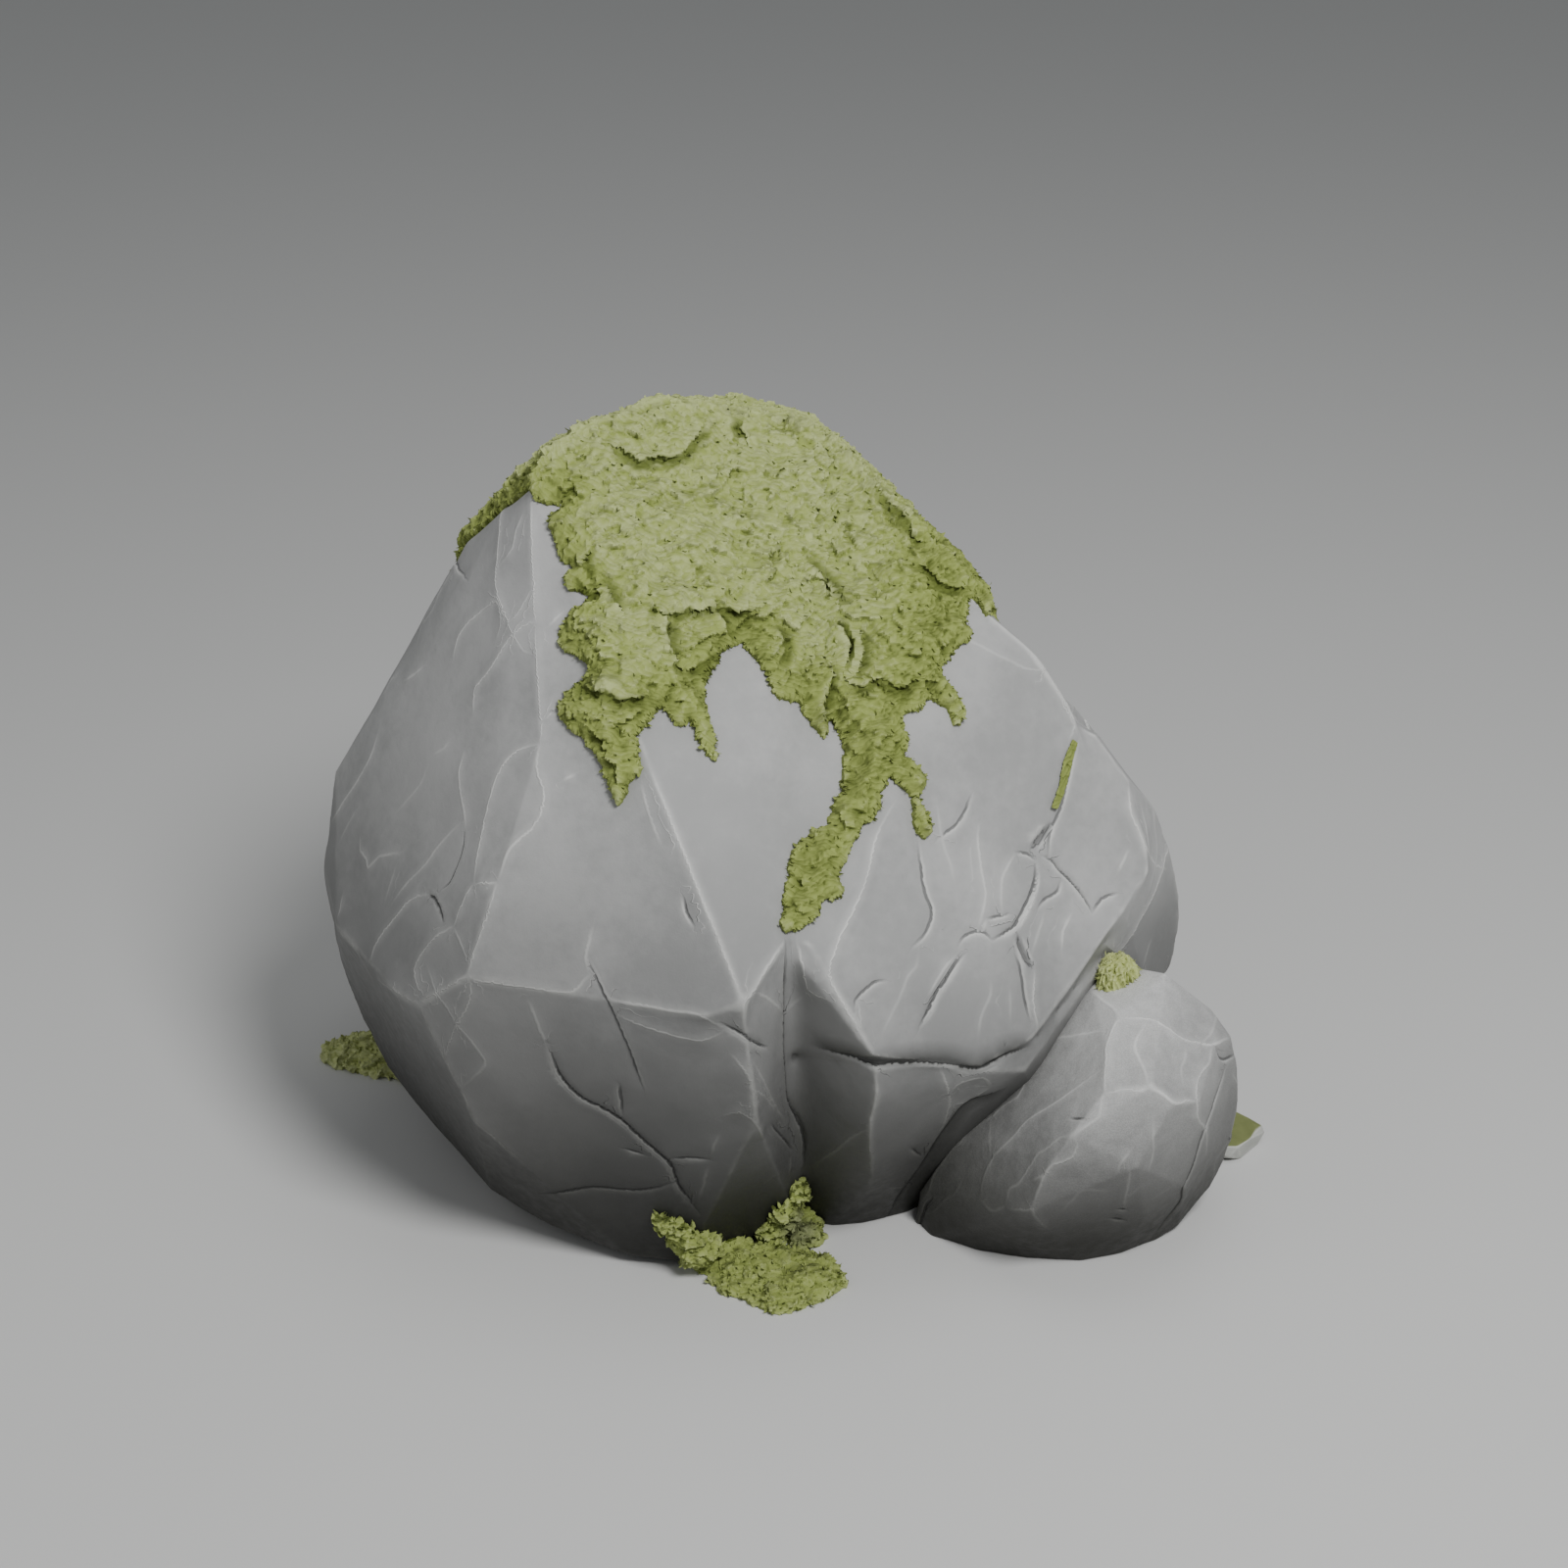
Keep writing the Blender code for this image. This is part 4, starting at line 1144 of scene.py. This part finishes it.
def moss_group():
    """Moss colour and height: bright where flakes stand proud and deep green in the hollows between them as
    painted shade, with painted light and shade from a stored level and painted shadow in the pockets.
    """
    group, given, result = new_group('crumpled_moss', [
        ('Bright', 'Color', (0.420, 0.468, 0.205, 1)), ('Middle', 'Color', (0.280, 0.332, 0.092, 1)),
        ('Deep', 'Color', (0.105, 0.132, 0.027, 1))],
        [('Color', 'Color'), ('Roughness', 'Float'), ('Height', 'Float')])
    place = add(group, 'ShaderNodeTexCoord').outputs['Object']
    stored = {name: add(group, 'ShaderNodeAttribute', attribute_name=name).outputs['Fac']
              for name in ('proud', 'broad', 'pocket_shadow', 'painted_lighting', 'withered')}
    patches = cloud(group, place, 18.0, 3.0, 0.6)
    fine = cloud(group, place, 230.0, 4.0, 0.7)
    # scales that lie over each other downhill: each rises to its lower edge and drops to the next
    outward_from = add(group, 'ShaderNodeVectorMath', {
        0: add(group, 'ShaderNodeVectorMath', {0: place, 1: (1, 1, 0)}, operation='MULTIPLY').outputs[0]},
        operation='LENGTH').outputs['Value']
    height = add(group, 'ShaderNodeSeparateXYZ', {'Vector': place}).outputs['Z']
    fall = math_of(group, 'SUBTRACT', times(group, outward_from, 95.0), times(group, height, 125.0))
    fall = plus(group, fall, times(group, cloud(group, place, 27.0, 2.0, 0.45), 8.0))
    scales = math_of(group, 'FRACT', fall, 0.0)
    scales = times(group, scales, ramp(group, cloud(group, place, 33.0, 2.0), 0.30, 0.55, 0.35, 1.0))
    # the hollows (proud, broad) and the foot of each scale are darker as painted shade; the stored level adds
    # painted light and shade; patches and fine are the moss's own mottling
    level = plus(group, times(group, stored['proud'], 0.26), times(group, stored['broad'], 0.09),
                 ramp(group, patches, 0.3, 0.7, -0.10, 0.10), ramp(group, fine, 0.3, 0.7, -0.07, 0.07),
                 ramp(group, scales, 0.0, 0.9, -0.26, 0.24), ramp(group, stored['painted_lighting'], 0.0, 0.9, -1.02, 0.38))
    colour = blended(group, ramp(group, level, -1.9, -0.2), given.outputs['Deep'], given.outputs['Middle'])
    colour = blended(group, ramp(group, level, -0.5, 1.3), colour, given.outputs['Bright'])
    # painted shadow in the pockets under the lobes and in the gaps
    colour = blended(group, times(group, stored['pocket_shadow'], 0.75), colour, given.outputs['Deep'])
    colour = blended(group, times(group, stored['withered'], 0.6), colour, (0.130, 0.135, 0.095, 1))
    group.links.new(colour, result.inputs['Color'])
    group.links.new(ramp(group, fine, 0.3, 0.7, 0.88, 1.0), result.inputs['Roughness'])
    relief = plus(group, times(group, fine, 0.0008), times(group, scales, 0.0052))
    group.links.new(relief, result.inputs['Height'])
    return group


crumpled_moss = moss_group()


def moss_material(name, **values):
    return material_from(crumpled_moss, name, (0.24, 0.26, 0.08), 0.95, 0.12, 0.8, values)


moss_green = moss_material('moss_green')
# a paler copy of the moss, as painted light for the patches that lie in the stone's shadow
moss_painted_lit = moss_material('moss_painted_lit', Bright=(0.58, 0.63, 0.31, 1), Middle=(0.43, 0.48, 0.17, 1),
                          Deep=(0.20, 0.235, 0.060, 1))
fixed(moss_cap, moss_green, 'moss_cap')


# ---------------------------------------------------------------- moss on the ground and in the gaps
# Each patch keeps the form of its solid. The two pads lie flat on the ground, the front one with two
# arms that climb the stone; a tuft sits in the gap over the small boulder, and a thin line in a crack.
def patch(node, name, grain, amount, seed, brightness, colour, strands=0.0):
    solid = bmesh.new()
    solid.from_mesh(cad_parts[node].data)
    bmesh.ops.remove_doubles(solid, verts=solid.verts, dist=1e-5)
    mesh = regrid(solid, grain)
    edges = links(mesh)
    points = relax(places(mesh), edges, np.full(len(mesh.vertices), 0.5), 6)
    move(mesh, points)
    if strands:
        points = points + (points.mean(0) - points) * (0.12, 0.12, 0)
    normals = outward(mesh)
    high = amount * (crinkle(points, normals, grain, seed) + 0.0016 * lumps_of(points, 0.03, seed + 3))
    high += strands * (0.4 - np.abs(lumps_of(points * (1, 1, 0.16), 0.0050, seed + 7)))
    points = points + normals * high[:, None]
    points[:, 2] = np.maximum(points[:, 2], 0.0)
    move(mesh, points)
    thing = finish_moss(name, mesh, np.zeros(len(points)), np.full(len(points), brightness))
    fixed(thing, colour, node)
    return thing


# brightness sets each patch's painted light and shade; the left pad and the tuft, in the stone's shadow, also
# take the paler copy as painted light
pad_front = patch('moss_pad_front', 'moss_pad_front_mat', 0.0019, 1.0, seed=31, brightness=0.46,
                  colour=moss_green)
spot = Vector(landed(tree_of(pad_front.data), [(806, 1248), (818, 1256), (826, 1262)]).mean(0))
grey = np.clip(1.7 - np.linalg.norm(places(pad_front.data) - spot, axis=1) / 0.018, 0, 1)
keep(pad_front.data, 'withered', grey)
pad_left = patch('moss_pad_left', 'moss_pad_left_mat', 0.0019, 1.0, seed=41, brightness=1.10, colour=moss_painted_lit)
tuft = patch('moss_tuft', 'moss_tuft_mat', 0.0013, 0.3, seed=51, brightness=0.5, colour=moss_painted_lit,
             strands=0.007)
patch('moss_streak', 'moss_streak_mat', 0.0010, 0.25, seed=61, brightness=0.2, colour=moss_green)


# ---------------------------------------------------------------- moss shoots
# Small curled flakes stand out of the moss cap, the two pads and the tuft. They are thickest along the cap's
# rim, where they lie outward over the stone, and they give its outline its points.
def shoot_tree():
    """Geometry nodes: one curled flake on each point, turned along `way`, as long as `reach`."""
    tree = bpy.data.node_groups.new('moss_shoots', 'GeometryNodeTree')
    for name, kind, direction in (('Geometry', 'Geometry', 'INPUT'), ('Flake', 'Object', 'INPUT'),
                                  ('Material', 'Material', 'INPUT'), ('Size', 'Float', 'INPUT'),
                                  ('Seed', 'Int', 'INPUT'), ('Geometry', 'Geometry', 'OUTPUT')):
        tree.interface.new_socket(name, in_out=direction, socket_type='NodeSocket' + kind)
    given, result = tree.nodes.new('NodeGroupInput'), tree.nodes.new('NodeGroupOutput')
    points = add(tree, 'GeometryNodeMeshToPoints', {'Mesh': given.outputs['Geometry']})
    flake = add(tree, 'GeometryNodeObjectInfo', {'Object': given.outputs['Flake']})
    way = add(tree, 'GeometryNodeInputNamedAttribute', {'Name': 'way'}, data_type='FLOAT_VECTOR')
    reach = add(tree, 'GeometryNodeInputNamedAttribute', {'Name': 'reach'}, data_type='FLOAT')
    turned = add(tree, 'FunctionNodeAlignRotationToVector', {'Vector': way.outputs['Attribute']}, axis='Y')
    spin = add(tree, 'FunctionNodeRandomValue', {'Min': -1.1, 'Max': 1.1, 'Seed': given.outputs['Seed']})
    spin.data_type = 'FLOAT'
    twist = add(tree, 'FunctionNodeAxisAngleToRotation', {'Axis': (0, 1, 0), 'Angle': spin.outputs[1]})
    whole = add(tree, 'FunctionNodeRotateRotation', {'Rotation': turned.outputs['Rotation'],
                                                     'Rotate By': twist.outputs['Rotation']})
    whole.rotation_space = 'LOCAL'
    scale = add(tree, 'ShaderNodeMath', {0: reach.outputs['Attribute'], 1: given.outputs['Size']},
                operation='MULTIPLY')
    placed = add(tree, 'GeometryNodeInstanceOnPoints', {
        'Points': points.outputs['Points'], 'Instance': flake.outputs['Geometry'],
        'Rotation': whole.outputs['Rotation'], 'Scale': scale.outputs[0]})
    real = add(tree, 'GeometryNodeRealizeInstances', {'Geometry': placed.outputs['Instances']})
    coated = add(tree, 'GeometryNodeSetMaterial', {'Geometry': real.outputs['Geometry'],
                                                   'Material': given.outputs['Material']})
    tree.links.new(coated.outputs['Geometry'], result.inputs['Geometry'])
    return tree


def flake_form(width, lift):
    """A pointed flake one unit long, widest at its middle and curled up towards its tip."""
    bm = bmesh.new()
    rows = [(-0.12, 0.5, 0.0), (0.35, 1.0, 0.10), (0.72, 0.62, 0.26)]
    verts = [[bm.verts.new((side * width * share / 2, along, high * lift + abs(side) * -0.05))
              for side in (-1, 0, 1)] for along, share, high in rows]
    tip = bm.verts.new((0.04, 1.0, 0.50 * lift))
    for low, high in zip(verts, verts[1:]):
        for k in (0, 1):
            bm.faces.new((low[k], low[k + 1], high[k + 1], high[k]))
    for k in (0, 1):
        bm.faces.new((verts[-1][k], verts[-1][k + 1], tip))
    mesh = bpy.data.meshes.new('flake')
    bm.to_mesh(mesh)
    bm.free()
    return shown('flake', mesh)


shoots = shoot_tree()


def shoots_on(name, carrier, chosen, ways, lengths, width, lift, seed):
    """Shoots on the chosen vertices of a moss mesh, each with its way and its length, as one piece."""
    mesh = carrier.data
    points, normals = places(mesh)[chosen], outward(mesh)[chosen]
    roots = bpy.data.meshes.new(name)
    roots.from_pydata([tuple(p) for p in points - normals * 0.0006], [], [])
    roots.attributes.new('way', 'FLOAT_VECTOR', 'POINT').data.foreach_set('vector', ways.astype('f').ravel())
    keep(roots, 'reach', lengths)
    for stored in ('pocket_shadow', 'painted_lighting', 'broad', 'withered'):
        if stored in mesh.attributes:
            keep(roots, stored, rows_of(mesh.attributes[stored].data, 'value', 1, 'f')[chosen, 0])
    keep(roots, 'proud', np.full(len(chosen), 0.25))
    thing, flake = shown(name, roots), flake_form(width, lift)
    step = thing.modifiers.new('shoots', 'NODES')
    step.node_group = shoots
    named = {item.name: item.identifier for item in shoots.interface.items_tree if item.in_out == 'INPUT'}
    for socket, value in (('Flake', flake), ('Material', carrier.data.materials[0]), ('Size', 1.0),
                          ('Seed', seed)):
        step[named[socket]] = value
    grown = evaluated(thing)
    thing.modifiers.clear()
    thing.data = grown
    grown.name = name
    bpy.data.objects.remove(flake, do_unlink=True)
    fixed(thing, None)


chance = np.random.default_rng(77)
points, facing = places(moss_cap.data), outward(moss_cap.data)
out = -unit(slope_of(relax(signed[:, None], links(moss_cap.data), np.ones(len(signed)), 4)[:, 0], points,
                     links(moss_cap.data)))
downhill = unit(np.array((0, 0, -1.0)) + facing * facing[:, 2:3])
rim_likes = np.clip(1 - np.abs(signed - 0.003) / 0.004, 0, 1)
likes = np.where(signed > 0.0005, 0.020 + 0.42 * rim_likes, 0)
chosen = np.flatnonzero(chance.random(len(points)) < likes)
side = rim_likes[chosen][:, None]
ways = unit(facing[chosen] * (0.55 - 0.25 * side) + out[chosen] * 1.1 * side
            + downhill[chosen] * (1.0 - 0.5 * side) + chance.normal(size=(len(chosen), 3)) * 0.35)
lengths = chance.uniform(0.0035, 0.0065, len(chosen))
shoots_on('moss_cap_shoots', moss_cap, chosen, ways, lengths, width=0.85, lift=0.7, seed=5)

for name, carrier, share, spread, rising, low, high, width, seed in (
        ('moss_pad_front_shoots', pad_front, 0.040, 0.6, 0.4, 0.004, 0.008, 0.8, 6),
        ('moss_pad_left_shoots', pad_left, 0.035, 0.6, 0.0, 0.004, 0.007, 0.8, 7),
        ('moss_tuft_shoots', tuft, 0.060, 0.35, -0.8, 0.005, 0.009, 0.22, 8)):
    points, facing = places(carrier.data), outward(carrier.data)
    climbing = np.clip((points[:, 2] - 0.045) / 0.03, 0, 1) * (carrier is pad_front)
    grown_on = (facing[:, 2] > -0.3) & (points[:, 2] > 0.002)
    chosen = np.flatnonzero((chance.random(len(points)) < share * (1 + climbing)) & grown_on)
    ways = unit(facing[chosen] * 0.7 + chance.normal(size=(len(chosen), 3)) * spread + np.array((0, 0, rising)))
    if carrier is not tuft:
        ways[:, 2] = np.maximum(ways[:, 2], -0.1)
    lengths = chance.uniform(low, high, len(chosen)) * (1 + 0.9 * climbing[chosen])
    ways[:, 2] += 1.2 * climbing[chosen]
    shoots_on(name, carrier, chosen, unit(ways), lengths, width, 0.7, seed)
